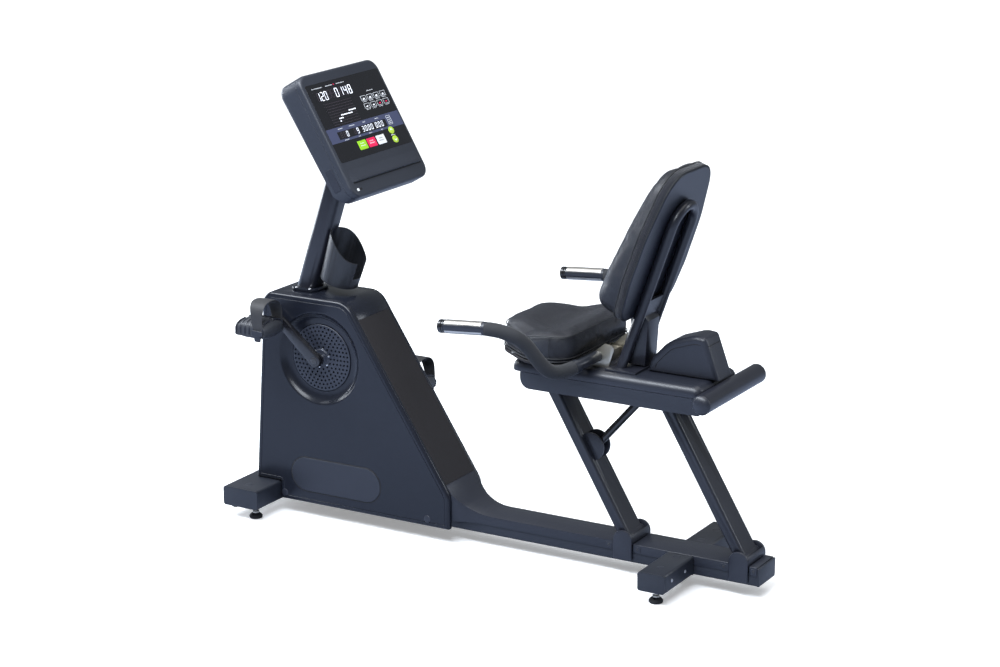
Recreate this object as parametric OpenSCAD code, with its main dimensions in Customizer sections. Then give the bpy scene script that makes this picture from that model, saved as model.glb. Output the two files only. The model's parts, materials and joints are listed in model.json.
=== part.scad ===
// Step-through recumbent exercise bike with a swinging, parallel-arm seat carriage.
// Frame: +X points to the rear (seat end), +Y to the rider's right, +Z up, ground at z = 0.

/* [Base] */
// Height of the rail's underside above the ground
rail_bottom = 39; // [34:1:50]
// Half the width of the base rail
rail_half_width = 50; // [45:1:60]
// Height of the base rail tube
rail_height = 34; // [28:1:34]
// Wall of the base rail and the stabiliser tubes
tube_wall = 3; // [2:0.5:4]
// Rear end of the rail tube, measured from the origin
rail_rear_x = 815; // [800:1:850]
// Front face of the front stabiliser
front_bar_x = -821; // [-850:1:-800]
// Fore and aft depth of the front stabiliser
front_bar_depth = 121; // [100:1:125]
// Height of the front stabiliser
front_bar_height = 58; // [50:1:60]
// Overall length of the front stabiliser, side to side
front_bar_length = 424; // [400:1:520]
// Fore and aft depth of the rear stabiliser arms
rear_bar_depth = 81; // [60:1:90]
// Height of the rear stabiliser arms
rear_bar_height = 54; // [46:1:58]
// Overall length of the rear stabiliser, side to side
rear_bar_length = 464; // [440:1:560]
// Front face of the rear stabiliser arms
rear_bar_x = 547; // [520:1:580]
// Thickness of the plastic plugs in the tube ends
plug_thickness = 6; // [4:1:10]
// Height of the deck covers' top above the ground
deck_top = 93; // [88:1:98]
// Radius of the levelling foot pads
foot_radius = 14; // [12:1:20]
// Radius of the levelling foot studs
stud_radius = 6; // [5:0.5:8]
// Radius of the transport wheels
wheel_radius = 21; // [18:1:24]

/* [Casing] */
// Half the width of the drive casing
casing_half_width = 96; // [90:1:100]
// Height of the casing's top deck
casing_top = 667; // [640:1:700]
// Height of the casing's lower edge
casing_bottom = 44; // [42:1:50]
// Front face of the casing at its foot
casing_front_x = -782; // [-790:1:-770]
// Front face of the casing at its top
casing_front_top_x = -745; // [-760:1:-720]
// Rear end of the casing at its foot
casing_rear_x = -120; // [-140:1:-100]
// Where the sloped back would meet the top deck
slope_top_x = -458; // [-480:1:-440]
// Height at which the sloped back ends
slope_bottom_z = 144; // [120:1:170]
// Wall of the casing mouldings
casing_wall = 3; // [2:0.5:4]
// Width of the side panels' wrapped edge
rim_width = 16; // [12:1:22]
// Radius of the round recess behind each crank
bowl_radius = 137; // [125:1:140]
// Depth of that recess
bowl_depth = 11; // [8:1:14]

/* [Crank and pedals] */
// Distance of the crank axle from the origin
crank_x = -553; // [-570:1:-540]
// Height of the crank axle
crank_z = 490; // [470:1:500]
// Length of the crank arms between centres
crank_length = 175; // [150:1:180]
// Angle of the left crank arm above the horizontal
crank_angle = 41; // [0:1:90]
// Radius of the crank axle
axle_radius = 10; // [8:0.5:12]
// Radius of the perforated discs
disc_radius = 98; // [85:1:102]
// Distance from the middle plane to the inner face of a crank arm
arm_inner_y = 104; // [102:1:115]
// Thickness of a crank arm
arm_thickness = 18; // [14:1:22]
// Fore and aft length of a pedal
pedal_length = 100; // [85:1:110]
// Width of a pedal
pedal_width = 96; // [80:1:105]
// Distance from the middle plane to a pedal's middle
pedal_y = 200; // [198:1:215]
// Height of a foot strap over its pedal
strap_height = 68; // [50:1:75]
// Radius of the drive pulley
pulley_radius = 108; // [90:1:112]
// Radius of the flywheel
flywheel_radius = 112; // [90:1:118]
// Radius of the flywheel's own pulley
small_pulley_radius = 27; // [20:1:36]

/* [Mast and console] */
// Lean of the mast from the vertical, towards the rider
mast_lean = 18; // [10:1:22]
// Length of the mast above the casing
mast_length = 468; // [440:1:475]
// Fore and aft depth of the mast
mast_depth = 60; // [50:1:66]
// Width of the mast
mast_width = 68; // [56:1:76]
// Width of the console
console_width = 394; // [360:1:420]
// Length of the console's face, top to bottom
console_length = 368; // [340:1:380]
// Thickness of the console
console_depth = 80; // [70:1:90]
// Tilt of the console's face from the horizontal
console_tilt = 59.7; // [50:0.1:65]
// Inner radius of the bottle holder at its foot
bottle_radius = 53; // [45:1:58]

/* [Swing linkage] */
// Height of the lower leg pivots
pivot_z = 100; // [98:1:104]
// Distance of the front leg's lower pivot from the origin
front_pivot_x = 413; // [400:1:425]
// Distance between the two leg pivots
pivot_spacing = 348; // [340:1:356]
// Length of each leg between its pivots
leg_length = 503; // [470:1:560]
// Forward lean of the legs with the seat fully forward
leg_lean = 30.6; // [20:0.1:32]
// Thickness of a leg, fore and aft
leg_depth = 34; // [30:1:38]
// Width of a leg
leg_width = 82; // [70:1:84]
// Radius of the pivot pins
pin_radius = 8; // [6:0.5:10]

/* [Seat carriage] */
// Half the width of the seat carriage
carriage_half_width = 120; // [115:1:130]
// Depth of the carriage's underside below its pivots
carriage_drop = 23; // [22:1:26]
// Height of the carriage's top above its pivots
carriage_rise = 55; // [50:1:60]
// Radius of the lift handle
lift_radius = 27; // [20:1:28]
// Length of the lift handle
lift_length = 360; // [300:1:380]
// Half the width of the seat cushion
seat_half_width = 202; // [180:1:215]
// Thickness of the seat cushion
seat_thickness = 92; // [60:1:100]
// Height of the cushion's underside above the carriage
seat_gap = 32; // [28:1:40]
// Distance from the middle plane to each hand grip
grip_y = 340; // [320:1:360]
// Radius of the hand grips
grip_radius = 19.5; // [15:0.5:20]
// Recline of the backrest from the vertical
back_recline = 19.6; // [10:0.1:25]
// Length of the backrest frame along its slope
back_length = 500; // [470:1:560]
// Half the distance between the backrest frame's legs
back_frame_half_width = 60; // [50:1:70]
// Radius of the backrest frame tube
back_tube_radius = 14; // [10:1:16]
// Half the width of the backrest cushion
back_half_width = 168; // [150:1:180]
// Height of the backrest cushion along its slope
back_height = 425; // [380:1:430]
// Thickness of the backrest cushion
back_thickness = 60; // [40:1:70]

/* [Fits] */
// Radial clearance of a shaft in its bearing or bore
running_gap = 0.06; // [0.03:0.01:0.1]
// Radial clearance at the pivot left loose by the linkage
loose_gap = 0.35; // [0.2:0.05:0.6]
// Gap between covers that meet at a seam
seam_gap = 0.4; // [0.3:0.1:1]
// Side clearance between parts that turn past each other
side_gap = 0.8; // [0.5:0.1:1.5]

/* [Hidden] */
$fn = 48;

// Finishes
charcoal = [0.16, 0.17, 0.19];
dark_slate = [0.20, 0.21, 0.24];
matte_brown_black = [0.15, 0.14, 0.14];
gloss_black = [0.05, 0.05, 0.06];
rubber_black = [0.08, 0.08, 0.08];
leather_black = [0.11, 0.12, 0.13];
zinc = [0.66, 0.62, 0.54];
steel = [0.72, 0.73, 0.75];

// Base
rail_top = rail_bottom + rail_height;
front_bar_rear_x = front_bar_x + front_bar_depth;
rail_front_x = front_bar_rear_x + seam_gap;
bar_bottom = rail_bottom - 1;
front_foot_x = front_bar_x + 87;
front_foot_y = front_bar_length / 2 - 40;
rear_foot_x = rear_bar_x + rear_bar_depth / 2;
rear_foot_y = rear_bar_length / 2 - 34;
foot_pad_height = 16;
stud_top = bar_bottom + 46;
wheel_x = front_bar_x + 27;
wheel_y = front_bar_length / 2 - 28;
wheel_width = 20;
wheel_z = bar_bottom + 11;
wheel_axle_radius = 5;
wheel_fork_half = wheel_width / 2 + 2;
plug_depth = 6;
cover_half_width = rail_half_width + tube_wall + seam_gap;
cover_seam_z = rail_top - 6;

// Linkage: lug plates stand on the rail and hang in the carriage, each side of a leg
rear_pivot_x = front_pivot_x + pivot_spacing;
lug_inner_y = leg_width / 2 + 1 + side_gap;
lug_thickness = 6;
lug_outer_y = lug_inner_y + lug_thickness;
lug_radius = 18;
barrel_radius = pin_radius + 13;
cheek_radius = barrel_radius + 8;
cheek_inner_y = max(lug_outer_y, rail_half_width) + seam_gap;
cheek_thickness = 9;
upper_pivot_x = front_pivot_x - leg_length * sin(leg_lean);
upper_pivot_z = pivot_z + leg_length * cos(leg_lean);
upper_rear_pivot_x = upper_pivot_x + pivot_spacing;
fork_half_gap = 18;

// Gas strut: pin on the front leg, eye inside the shroud
strut_drop = 235;
strut_pin_along = leg_length - strut_drop;
strut_pin_out = 23;
strut_angle = 41.45;
strut_length = 380;
strut_radius = 11;
rod_radius = 5;
strut_pin_radius = 5;
strut_tube_length = 250;
strut_cheek_inner_y = 16;
strut_cheek_thickness = 6;

// Seat carriage
carriage_bottom = upper_pivot_z - carriage_drop;
carriage_top = upper_pivot_z + carriage_rise;
carriage_seam_z = carriage_top - 32;
carriage_front_x = upper_pivot_x - 33;
carriage_rear_x = upper_rear_pivot_x + 163;
carriage_nose_x = carriage_front_x - 24;
carriage_wall = 4;
lift_x = carriage_rear_x + lift_radius + 2;
lift_z = (carriage_bottom + carriage_top) / 2 + 11;
lift_stud_z = carriage_seam_z - 9;
shroud_front_x = upper_rear_pivot_x - 29;
shroud_rear_x = upper_rear_pivot_x + 150;
shroud_top = carriage_top + 118;
shroud_half_width = 46;
shroud_wall = 3;

// Seat
seat_front_x = upper_pivot_x - 102;
seat_rear_x = upper_pivot_x + 154;
seat_bottom = carriage_top + seat_gap;
post_front_x = upper_pivot_x + 60;
post_rear_x = upper_pivot_x + 186;
post_half_width = 54;
back_foot_x = upper_pivot_x + 245;
bracket_half_width = 64;
bracket_thickness = 4;

// Handlebar route: out of the post, down and out, then up and forward to the grip
bar_x = upper_pivot_x + 178;
bar_z = carriage_top + 29;
grip_rear_x = upper_pivot_x + 1;
grip_front_x = upper_pivot_x - 141;
grip_z = carriage_top + 146;
bar_route = [[bar_x, bracket_half_width + bracket_thickness + 0.3, bar_z], [bar_x, 150, bar_z],
    [bar_x - 21, 205, bar_z - 12], [bar_x - 39, 255, bar_z - 8], [bar_x - 59, 283, bar_z + 24],
    [bar_x - 85, 306, bar_z + 76], [bar_x - 113, grip_y - 10, grip_z - 12],
    [grip_rear_x, grip_y, grip_z], [grip_front_x, grip_y, grip_z - 11]];

// Mast and console
mast_foot_x = -646;
mast_socket_depth = 110;
cup_axis_x = mast_depth / 2 + bottle_radius + 5;
cup_foot = 66;
cup_height = 142;
cup_flare = 6;
cup_wall = 3;
console_x = -443;
console_z = 1155.5;
bezel_depth = 18;
console_wall = 3;
console_top = -console_length / 2 - 2;
panel_top = -161;
panel_length = 236;
panel_width = 368;
panel_thickness = 3;
key_lift = 1.2;

// Drive
flywheel_x = -385;
flywheel_z = 236;
belt_y = 46;
belt_width = 14;
belt_thickness = 3;
shell_radius = 27;
bearing_radius = 21;
bearing_width = 12;
bearing_seats = [-58, 22];
spindle_radius = 7;
post_x = -690;

// ---------- helpers ----------

module box(x0, x1, y0, y1, z0, z1) translate([x0, y0, z0]) cube([x1 - x0, y1 - y0, z1 - z0]);

module rod_y(x, z, r, y0, y1) translate([x, y0, z]) rotate([-90, 0, 0]) cylinder(h = y1 - y0, r = r);

module rod_z(x, y, r, z0, z1) translate([x, y, z0]) cylinder(h = z1 - z0, r = r);

// A plate standing across the machine: outline in X and Z, from y0 to y1
module plate_xz(points, y0, y1) translate([0, y1, 0]) rotate([90, 0, 0]) linear_extrude(y1 - y0) polygon(points);

// A bar running fore and aft: outline in Y and Z, from x0 to x1
module bar_yz(points, x0, x1) translate([x0, 0, 0]) rotate([90, 0, 90]) linear_extrude(x1 - x0) polygon(points);

module both_sides() {
    children();
    mirror([0, 1, 0]) children();
}

function unit(v) = v / norm(v);
function turn(a) = a > 180 ? a - 360 : a < -180 ? a + 360 : a;

// Round one corner b of the path a, b, c
function fillet(a, b, c, r) = r <= 0 ? [b] :
    let (u = unit(a - b), v = unit(c - b), half = acos(u * v) / 2)
    let (m = b + unit(u + v) * r / sin(half), s = b + u * r / tan(half), e = b + v * r / tan(half))
    let (a0 = atan2(s.y - m.y, s.x - m.x), d = turn(atan2(e.y - m.y, e.x - m.x) - a0))
    let (n = max(2, ceil(abs(d) / 9)))
    [for (i = [0:n]) m + r * [cos(a0 + d * i / n), sin(a0 + d * i / n)]];

// Outline from corners given as [x, y, radius]
function rounded(c) = let (n = len(c))
    [for (i = [0:n - 1]) let (p = c[(i + n - 1) % n], q = c[i], s = c[(i + 1) % n])
        each fillet([p.x, p.y], [q.x, q.y], [s.x, s.y], q.z)];

// The same corners moved inwards by d, for an outline that runs anticlockwise
function inset(c, d) = let (n = len(c))
    [for (i = [0:n - 1]) let (p = c[(i + n - 1) % n], q = c[i], s = c[(i + 1) % n])
        let (e = unit([q.x - p.x, q.y - p.y]), f = unit([s.x - q.x, s.y - q.y]))
        let (m = [-e.y, e.x], k = [-f.y, f.x], t = (m + k) * d / (1 + m * k))
        let (convex = e.x * f.y - e.y * f.x > 0, r = convex ? max(0, q.z - d) : q.z > 0 ? q.z + d : 0)
        [q.x + t.x, q.y + t.y, r]];

function box_corners(x0, x1, y0, y1, r) = [[x0, y0, r], [x1, y0, r], [x1, y1, r], [x0, y1, r]];

// A bent tube of one radius along a route of points
function ring(p, t, r, n) = let (side = unit(cross(t, [0.15, 0.1, 1])), up = cross(side, t))
    [for (i = [0:n - 1]) p + r * (side * cos(360 * i / n) + up * sin(360 * i / n))];

// Three passes of corner cutting turn a coarse route into a smooth one that keeps its ends
function cut_corners(p) = let (n = len(p))
    concat([p[0]], [for (i = [0:n - 2]) each [p[i] * 0.75 + p[i + 1] * 0.25,
        p[i] * 0.25 + p[i + 1] * 0.75]], [p[n - 1]]);
function smooth_route(p) = cut_corners(cut_corners(p));

module bent_tube(route, r, n = 16) {
    m = len(route);
    tangents = [for (i = [0:m - 1]) unit(route[min(i + 1, m - 1)] - route[max(i - 1, 0)])];
    rings = [for (i = [0:m - 1]) each ring(route[i], tangents[i], r, n)];
    walls = [for (i = [0:m - 2], j = [0:n - 1])
        [i * n + j, i * n + (j + 1) % n, (i + 1) * n + (j + 1) % n, (i + 1) * n + j]];
    ends = [[for (j = [n - 1:-1:0]) j], [for (j = [0:n - 1]) (m - 1) * n + j]];
    polyhedron(points = rings, faces = concat(walls, ends));
}

// ---------- base ----------

module lug(x, z0, z1) {
    union() {
        box(x - lug_radius, x + lug_radius, lug_inner_y, lug_outer_y, z0, z1);
        rod_y(x, z1, lug_radius, lug_inner_y, lug_outer_y);
    }
}

module base_rail() color(charcoal) difference() {
    union() {
        box(rail_front_x, rail_rear_x, -rail_half_width, rail_half_width, rail_bottom, rail_top);
        both_sides() for (x = [front_pivot_x, rear_pivot_x]) lug(x, rail_top - 1, pivot_z);
    }
    box(rail_front_x - 1, rail_rear_x + 1, -rail_half_width + tube_wall, rail_half_width - tube_wall,
        rail_bottom + tube_wall, rail_top - tube_wall);
    for (x = [front_pivot_x, rear_pivot_x])
        rod_y(x, pivot_z, pin_radius + 0.02, -lug_outer_y - 1, lug_outer_y + 1);
}

module bar_tube(x0, depth, y0, y1, height) difference() {
    z1 = bar_bottom + height;
    plate_xz(rounded(box_corners(x0, x0 + depth, bar_bottom, z1, 8)), y0, y1);
    plate_xz(rounded(box_corners(x0 + tube_wall, x0 + depth - tube_wall, bar_bottom + tube_wall,
        z1 - tube_wall, 5)), y0 - 1, y1 + 1);
}

module front_stabiliser() color(dark_slate) difference() {
    end = front_bar_length / 2 - plug_thickness;
    union() {
        bar_tube(front_bar_x, front_bar_depth, -end, end, front_bar_height);
        for (s = [-1, 1]) {
            rod_z(front_foot_x, s * front_foot_y, stud_radius + 6, bar_bottom + 1, stud_top);
            box(front_bar_x + 1, wheel_x + wheel_radius + 6, s * wheel_y - wheel_fork_half - tube_wall,
                s * wheel_y + wheel_fork_half + tube_wall, bar_bottom + 1, wheel_z + wheel_radius);
        }
    }
    for (s = [-1, 1]) {
        rod_z(front_foot_x, s * front_foot_y, stud_radius + running_gap, bar_bottom - 1, stud_top + 1);
        difference() {
            wheel_pocket(s);
            rod_y(wheel_x, wheel_z, wheel_axle_radius, -300, 300);
        }
    }
}

module wheel_pocket(s) box(wheel_x - wheel_radius - 3, wheel_x + wheel_radius + 3,
    s * wheel_y - wheel_fork_half, s * wheel_y + wheel_fork_half, bar_bottom - 1, wheel_z + wheel_radius + 3);

module rear_stabiliser() color(dark_slate) both_sides() difference() {
    union() {
        bar_tube(rear_bar_x, rear_bar_depth, cover_half_width + seam_gap,
            rear_bar_length / 2 - plug_thickness, rear_bar_height);
        rod_z(rear_foot_x, rear_foot_y, stud_radius + 6, bar_bottom + 1, stud_top);
        box(rear_bar_x + 1, rear_bar_x + rear_bar_depth - 1, rail_half_width,
            cover_half_width + 4, bar_bottom + 1, cover_seam_z - 2);
    }
    rod_z(rear_foot_x, rear_foot_y, stud_radius + running_gap, bar_bottom - 1, stud_top + 1);
}

module end_plug(x0, depth, y, height) {
    z1 = bar_bottom + height;
    plate_xz(rounded(box_corners(x0, x0 + depth, bar_bottom, z1, 8)), y - plug_thickness, y);
    plate_xz(rounded(box_corners(x0 + tube_wall + 0.3, x0 + depth - tube_wall - 0.3,
        bar_bottom + tube_wall + 0.3, z1 - tube_wall - 0.3, 4)), y - plug_thickness - plug_depth, y - plug_thickness);
}

module tube_end_caps() color(dark_slate) {
    both_sides() end_plug(front_bar_x, front_bar_depth, front_bar_length / 2, front_bar_height);
    both_sides() end_plug(rear_bar_x, rear_bar_depth, rear_bar_length / 2, rear_bar_height);
    box(rail_rear_x, rail_rear_x + plug_thickness, -cover_half_width, cover_half_width,
        rail_bottom, deck_top - 2);
}

// Deck cover ahead of the swing arms, with the ramp that runs up into the casing
deck_end_x = front_pivot_x - cheek_radius - 1;
slope_run = (slope_top_x - casing_rear_x) / (casing_top - slope_bottom_z);
ramp_top_z = 172;
ramp_top_x = casing_rear_x + slope_run * (ramp_top_z - slope_bottom_z);
ramp_foot_x = casing_rear_x + slope_run * (deck_top - slope_bottom_z);
deck_corners = [[ramp_top_x - 16, cover_seam_z, 0], [deck_end_x, cover_seam_z, 0],
    [deck_end_x, deck_top, 4], [ramp_foot_x, deck_top, 150], [ramp_top_x, ramp_top_z, 0],
    [ramp_top_x - 16, ramp_top_z, 0]];
deck_wide = casing_half_width - rim_width - seam_gap - 1.1;
deck_neck = cover_half_width + (deck_wide - cover_half_width) * 0.343;
deck_throat = cover_half_width + (deck_wide - cover_half_width) * 0.084;
deck_plan = [[-300, deck_wide], [casing_rear_x + 1, deck_wide], [-84, deck_neck], [-50, deck_throat],
    [-20, cover_half_width], [500, cover_half_width], [500, -cover_half_width], [-20, -cover_half_width],
    [-50, -deck_throat], [-84, -deck_neck], [casing_rear_x + 1, -deck_wide], [-300, -deck_wide]];

module front_deck_cover() color(charcoal) difference() {
    intersection() {
        plate_xz(rounded(deck_corners), -90, 90);
        translate([0, 0, -10]) linear_extrude(300) polygon(deck_plan);
    }
    plate_xz(rounded(inset(deck_corners, casing_wall)), -rail_half_width - seam_gap,
        rail_half_width + seam_gap);
    box(ramp_top_x - 20, deck_end_x + 1, -rail_half_width - seam_gap, rail_half_width + seam_gap,
        cover_seam_z - 1, rail_top + 4);
}

module deck_strip(x0, x1) difference() {
    box(x0, x1, -cover_half_width, cover_half_width, cover_seam_z, deck_top);
    box(x0 - 1, x1 + 1, -rail_half_width - seam_gap, rail_half_width + seam_gap,
        cover_seam_z - 1, deck_top - casing_wall);
}

module rear_deck_cover() color(charcoal) {
    deck_strip(front_pivot_x + cheek_radius + 1, rear_pivot_x - cheek_radius - 1);
    deck_strip(rear_pivot_x + cheek_radius + 1, rail_rear_x - seam_gap);
}

module pivot_housings() color(dark_slate) both_sides() for (x = [front_pivot_x, rear_pivot_x]) {
    y0 = cheek_inner_y;
    y1 = cheek_inner_y + cheek_thickness;
    union() {
        box(x - cheek_radius, x + cheek_radius, y0, y1, rail_bottom + 4, pivot_z);
        rod_y(x, pivot_z, cheek_radius, y0, y1);
    }
}

module lower_pivot_pins() color(steel)
    for (x = [front_pivot_x, rear_pivot_x]) rod_y(x, pivot_z, pin_radius, -lug_outer_y, lug_outer_y);

module levelling_foot(x, y) color(rubber_black) union() {
    rod_z(x, y, foot_radius, 0, foot_pad_height);
    rod_z(x, y, stud_radius, foot_pad_height - 1, stud_top - 4);
    translate([x, y, foot_pad_height]) cylinder(h = 8, r = 10, $fn = 6);
}

module levelling_foot_front_left() levelling_foot(front_foot_x, -front_foot_y);
module levelling_foot_front_right() levelling_foot(front_foot_x, front_foot_y);
module levelling_foot_rear_left() levelling_foot(rear_foot_x, -rear_foot_y);
module levelling_foot_rear_right() levelling_foot(rear_foot_x, rear_foot_y);

module transport_wheel(y) color(rubber_black) difference() {
    rod_y(wheel_x, wheel_z, wheel_radius, y - wheel_width / 2, y + wheel_width / 2);
    for (s = [-1, 1]) rod_y(wheel_x, wheel_z, wheel_radius - 6, y + s * wheel_width / 2 - 3,
        y + s * wheel_width / 2 + 3);
    rod_y(wheel_x, wheel_z, wheel_axle_radius + running_gap, y - 30, y + 30);
}

module transport_wheel_left() transport_wheel(-wheel_y);
module transport_wheel_right() transport_wheel(wheel_y);

// ---------- drive casing ----------

casing_corners = [[front_bar_rear_x + 2, casing_bottom, 0], [casing_rear_x, casing_bottom, 6],
    [casing_rear_x, slope_bottom_z, 70], [slope_top_x, casing_top, 62],
    [casing_front_top_x, casing_top, 34],
    [casing_front_x, bar_bottom + front_bar_height + seam_gap, 0],
    [front_bar_rear_x + 2, bar_bottom + front_bar_height + seam_gap, 0]];
casing_outline = rounded(casing_corners);
casing_inner = rounded(inset(casing_corners, casing_wall));
band_half_width = casing_half_width - rim_width - seam_gap;

// Rings cut where each crank passes through its side panel
module bowl(y0, y1) {
    translate([crank_x, y0, crank_z]) rotate([-90, 0, 0]) difference() {
        cylinder(h = y1 - y0, r1 = bowl_radius, r2 = disc_radius + 6);
        translate([0, 0, -0.01]) cylinder(h = y1 - y0 + 0.02, r1 = bowl_radius - casing_wall,
            r2 = disc_radius + 3);
    }
}

module left_side_panel() color(charcoal) union() {
    difference() {
        plate_xz(casing_outline, -casing_half_width, -casing_half_width + rim_width);
        plate_xz(casing_inner, -casing_half_width + casing_wall, -casing_half_width + rim_width + 1);
        rod_y(crank_x, crank_z, bowl_radius - 1, -casing_half_width - 1, -casing_half_width + casing_wall + 1);
    }
    bowl(-casing_half_width, -casing_half_width + bowl_depth);
}

module right_side_panel() mirror([0, 1, 0]) left_side_panel();

module casing_band() difference() {
    plate_xz(casing_outline, -band_half_width, band_half_width);
    plate_xz(casing_inner, -band_half_width - 1, band_half_width + 1);
}

panel_top_z = 617;

module spine_cover() color(dark_slate) difference() {
    casing_band();
    box(slope_top_x - 150, 0, -200, 200, 0, panel_top_z + seam_gap);
    box(casing_front_x - 50, 0, -200, 200, 0, bar_bottom + front_bar_height + 3);
    translate([mast_foot_x, 0, casing_top]) rotate([0, mast_lean, 0])
        mast_prism(mast_depth + 2, mast_width + 2, -60, 60);
}

module rear_panel() color(matte_brown_black) intersection() {
    casing_band();
    box(slope_top_x - 150, 0, -200, 200, ramp_top_z + seam_gap, panel_top_z);
}

// Steel frame inside the casing: post, crank shell, flywheel stub and mast socket
module drive_frame() color(dark_slate) difference() {
    union() {
        box(post_x, post_x + 50, -25, 25, rail_top, crank_z + 75);
        box(crank_x - 20, crank_x + 20, -24, 24, rail_top, crank_z - 20);
        box(post_x + 40, crank_x, -20, 20, crank_z - 25, crank_z + 25);
        rod_y(crank_x, crank_z, shell_radius, bearing_seats[0], bearing_seats[1] + bearing_width + 1);
        box(crank_x + 10, flywheel_x + 14, -62, -54, flywheel_z - 20, flywheel_z + 20);
        box(crank_x - 20, crank_x + 20, -62, -20, flywheel_z - 20, flywheel_z + 20);
        rod_y(flywheel_x, flywheel_z, 8, -62, belt_y + 6);
        rod_y(flywheel_x, flywheel_z, 16, -62, -26);
        translate([mast_foot_x, 0, casing_top]) rotate([0, mast_lean, 0])
            mast_prism(mast_depth + 10, mast_width + 10, -mast_socket_depth - 6, -30);
    }
    translate([mast_foot_x, 0, casing_top]) rotate([0, mast_lean, 0])
        mast_prism(mast_depth + 0.3, mast_width + 0.3, -mast_socket_depth, 20);
    rod_y(crank_x, crank_z, bearing_radius - 3, -200, 200);
    rod_y(crank_x, crank_z, bearing_radius + 0.02, -200, bearing_seats[0] + bearing_width);
    rod_y(crank_x, crank_z, bearing_radius + 0.02, bearing_seats[1], 200);
}

module crank_bearings() color(steel) for (y = bearing_seats) difference() {
    rod_y(crank_x, crank_z, bearing_radius, y, y + bearing_width);
    rod_y(crank_x, crank_z, axle_radius + running_gap, y - 1, y + bearing_width + 1);
}

// Loop around two pulleys that stand apart
function belt_loop(r1, r2) = let (dx = flywheel_x - crank_x, dz = flywheel_z - crank_z)
    let (far = norm([dx, dz]), along = atan2(dz, dx), tilt = acos((r1 - r2) / far))
    concat([for (i = [0:40]) let (a = along + tilt + (360 - 2 * tilt) * i / 40)
            [crank_x + r1 * cos(a), crank_z + r1 * sin(a)]],
        [for (i = [0:20]) let (a = along - tilt + 2 * tilt * i / 20)
            [flywheel_x + r2 * cos(a), flywheel_z + r2 * sin(a)]]);

module drive_belt() color(rubber_black) difference() {
    lift = 0.6;
    plate_xz(belt_loop(pulley_radius + lift + belt_thickness, small_pulley_radius + lift + belt_thickness),
        belt_y - belt_width / 2, belt_y + belt_width / 2);
    plate_xz(belt_loop(pulley_radius + lift, small_pulley_radius + lift), belt_y - belt_width,
        belt_y + belt_width);
}

module flywheel() color(steel) difference() {
    union() {
        rod_y(flywheel_x, flywheel_z, flywheel_radius, -24, 8);
        rod_y(flywheel_x, flywheel_z, 20, 8, belt_y - 9);
        rod_y(flywheel_x, flywheel_z, small_pulley_radius, belt_y - 9, belt_y + 8.5);
    }
    for (s = [0, 1]) difference() {
        rod_y(flywheel_x, flywheel_z, flywheel_radius - 22, s * 24 - 25 + s, s * 26 - 16 + s);
        rod_y(flywheel_x, flywheel_z, 24, -30, 20);
    }
    rod_y(flywheel_x, flywheel_z, 8 + running_gap, -30, 80);
}

// ---------- crank ----------

module crank_axle() color(steel) rod_y(crank_x, crank_z, axle_radius, -arm_inner_y - arm_thickness + 4,
    arm_inner_y + arm_thickness - 4);

module drive_pulley() color(charcoal) difference() {
    rod_y(crank_x, crank_z, pulley_radius, belt_y - belt_width / 2 - 1, belt_y + belt_width / 2 + 1);
    for (i = [0:5]) rod_y(crank_x + 66 * cos(60 * i), crank_z + 66 * sin(60 * i), 24, 0, 80);
    rod_y(crank_x, crank_z, axle_radius + 0.01, 0, 80);
}

// One arm with its pedal spindle, drawn for the left side
module crank_arm() difference() {
    px = crank_x - crank_length * cos(crank_angle);
    pz = crank_z + crank_length * sin(crank_angle);
    y = -arm_inner_y - arm_thickness;
    union() {
        hull() {
            rod_y(crank_x, crank_z, 20, y, -arm_inner_y - 1, $fn = 32);
            rod_y(px, pz, 14, y - 10, -arm_inner_y - 8, $fn = 32);
        }
        rod_y(crank_x, crank_z, 22, y - 1, -arm_inner_y);
        rod_y(px, pz, 13, y - 12, -arm_inner_y - 8);
        rod_y(px, pz, spindle_radius, -pedal_y - pedal_width / 2 + 8, y);
    }
    rod_y(crank_x, crank_z, axle_radius + 0.01, y - 5, 0);
}

module crank_arm_left() color(gloss_black) crank_arm();
module crank_arm_right() color(gloss_black) translate([2 * crank_x, 0, 2 * crank_z])
    rotate([0, 180, 0]) mirror([0, 1, 0]) crank_arm();

module perforated_discs() color(gloss_black) both_sides() difference() {
    y = casing_half_width - bowl_depth;
    rod_y(crank_x, crank_z, disc_radius, y - 1, y + 1);
    rod_y(crank_x, crank_z, axle_radius + 0.01, y - 5, y + 5);
}

// ---------- pedals, drawn for the left side with the spindle at the origin ----------

pedal_top = 12;
pedal_inner_y = pedal_width / 2;
counterweight_depth = 18;

module pedal_body() difference() {
    union() {
        bar_yz(rounded(box_corners(-pedal_inner_y, pedal_inner_y, -pedal_top, pedal_top, 6)),
            -pedal_length / 2 + 8, pedal_length / 2 - 8);
        plate_xz(rounded(box_corners(-pedal_length / 2, pedal_length / 2, -pedal_top, pedal_top, 11)),
            -pedal_inner_y + 8, pedal_inner_y - 8);
        for (x = [-34, 10]) box(x, x + 24, -32, 32, -pedal_top - counterweight_depth, -pedal_top + 1);
    }
    rod_y(0, 0, spindle_radius + running_gap, -60, 60);
}

strap_width = 34;
strap_thickness = 3;
strap_half = pedal_inner_y + 0.3;
strap_foot_z = -6;
strap_corner = 36;

// Arched outline of the strap, as corners in Y and Z
function strap_corners(grow, foot) = [[-strap_half - grow, foot, 0], [strap_half + grow, foot, 0],
    [strap_half + grow, strap_height + grow, strap_corner + grow],
    [-strap_half - grow, strap_height + grow, strap_corner + grow]];

// Clears the spindle and the crank arm's boss, and stops against the pedal's sides
module pedal_strap() difference() {
    bar_yz(rounded(strap_corners(strap_thickness, strap_foot_z)), spindle_radius + 6,
        spindle_radius + 6 + strap_width);
    bar_yz(rounded(strap_corners(0, strap_foot_z - 1)), 0, 100);
}

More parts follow.
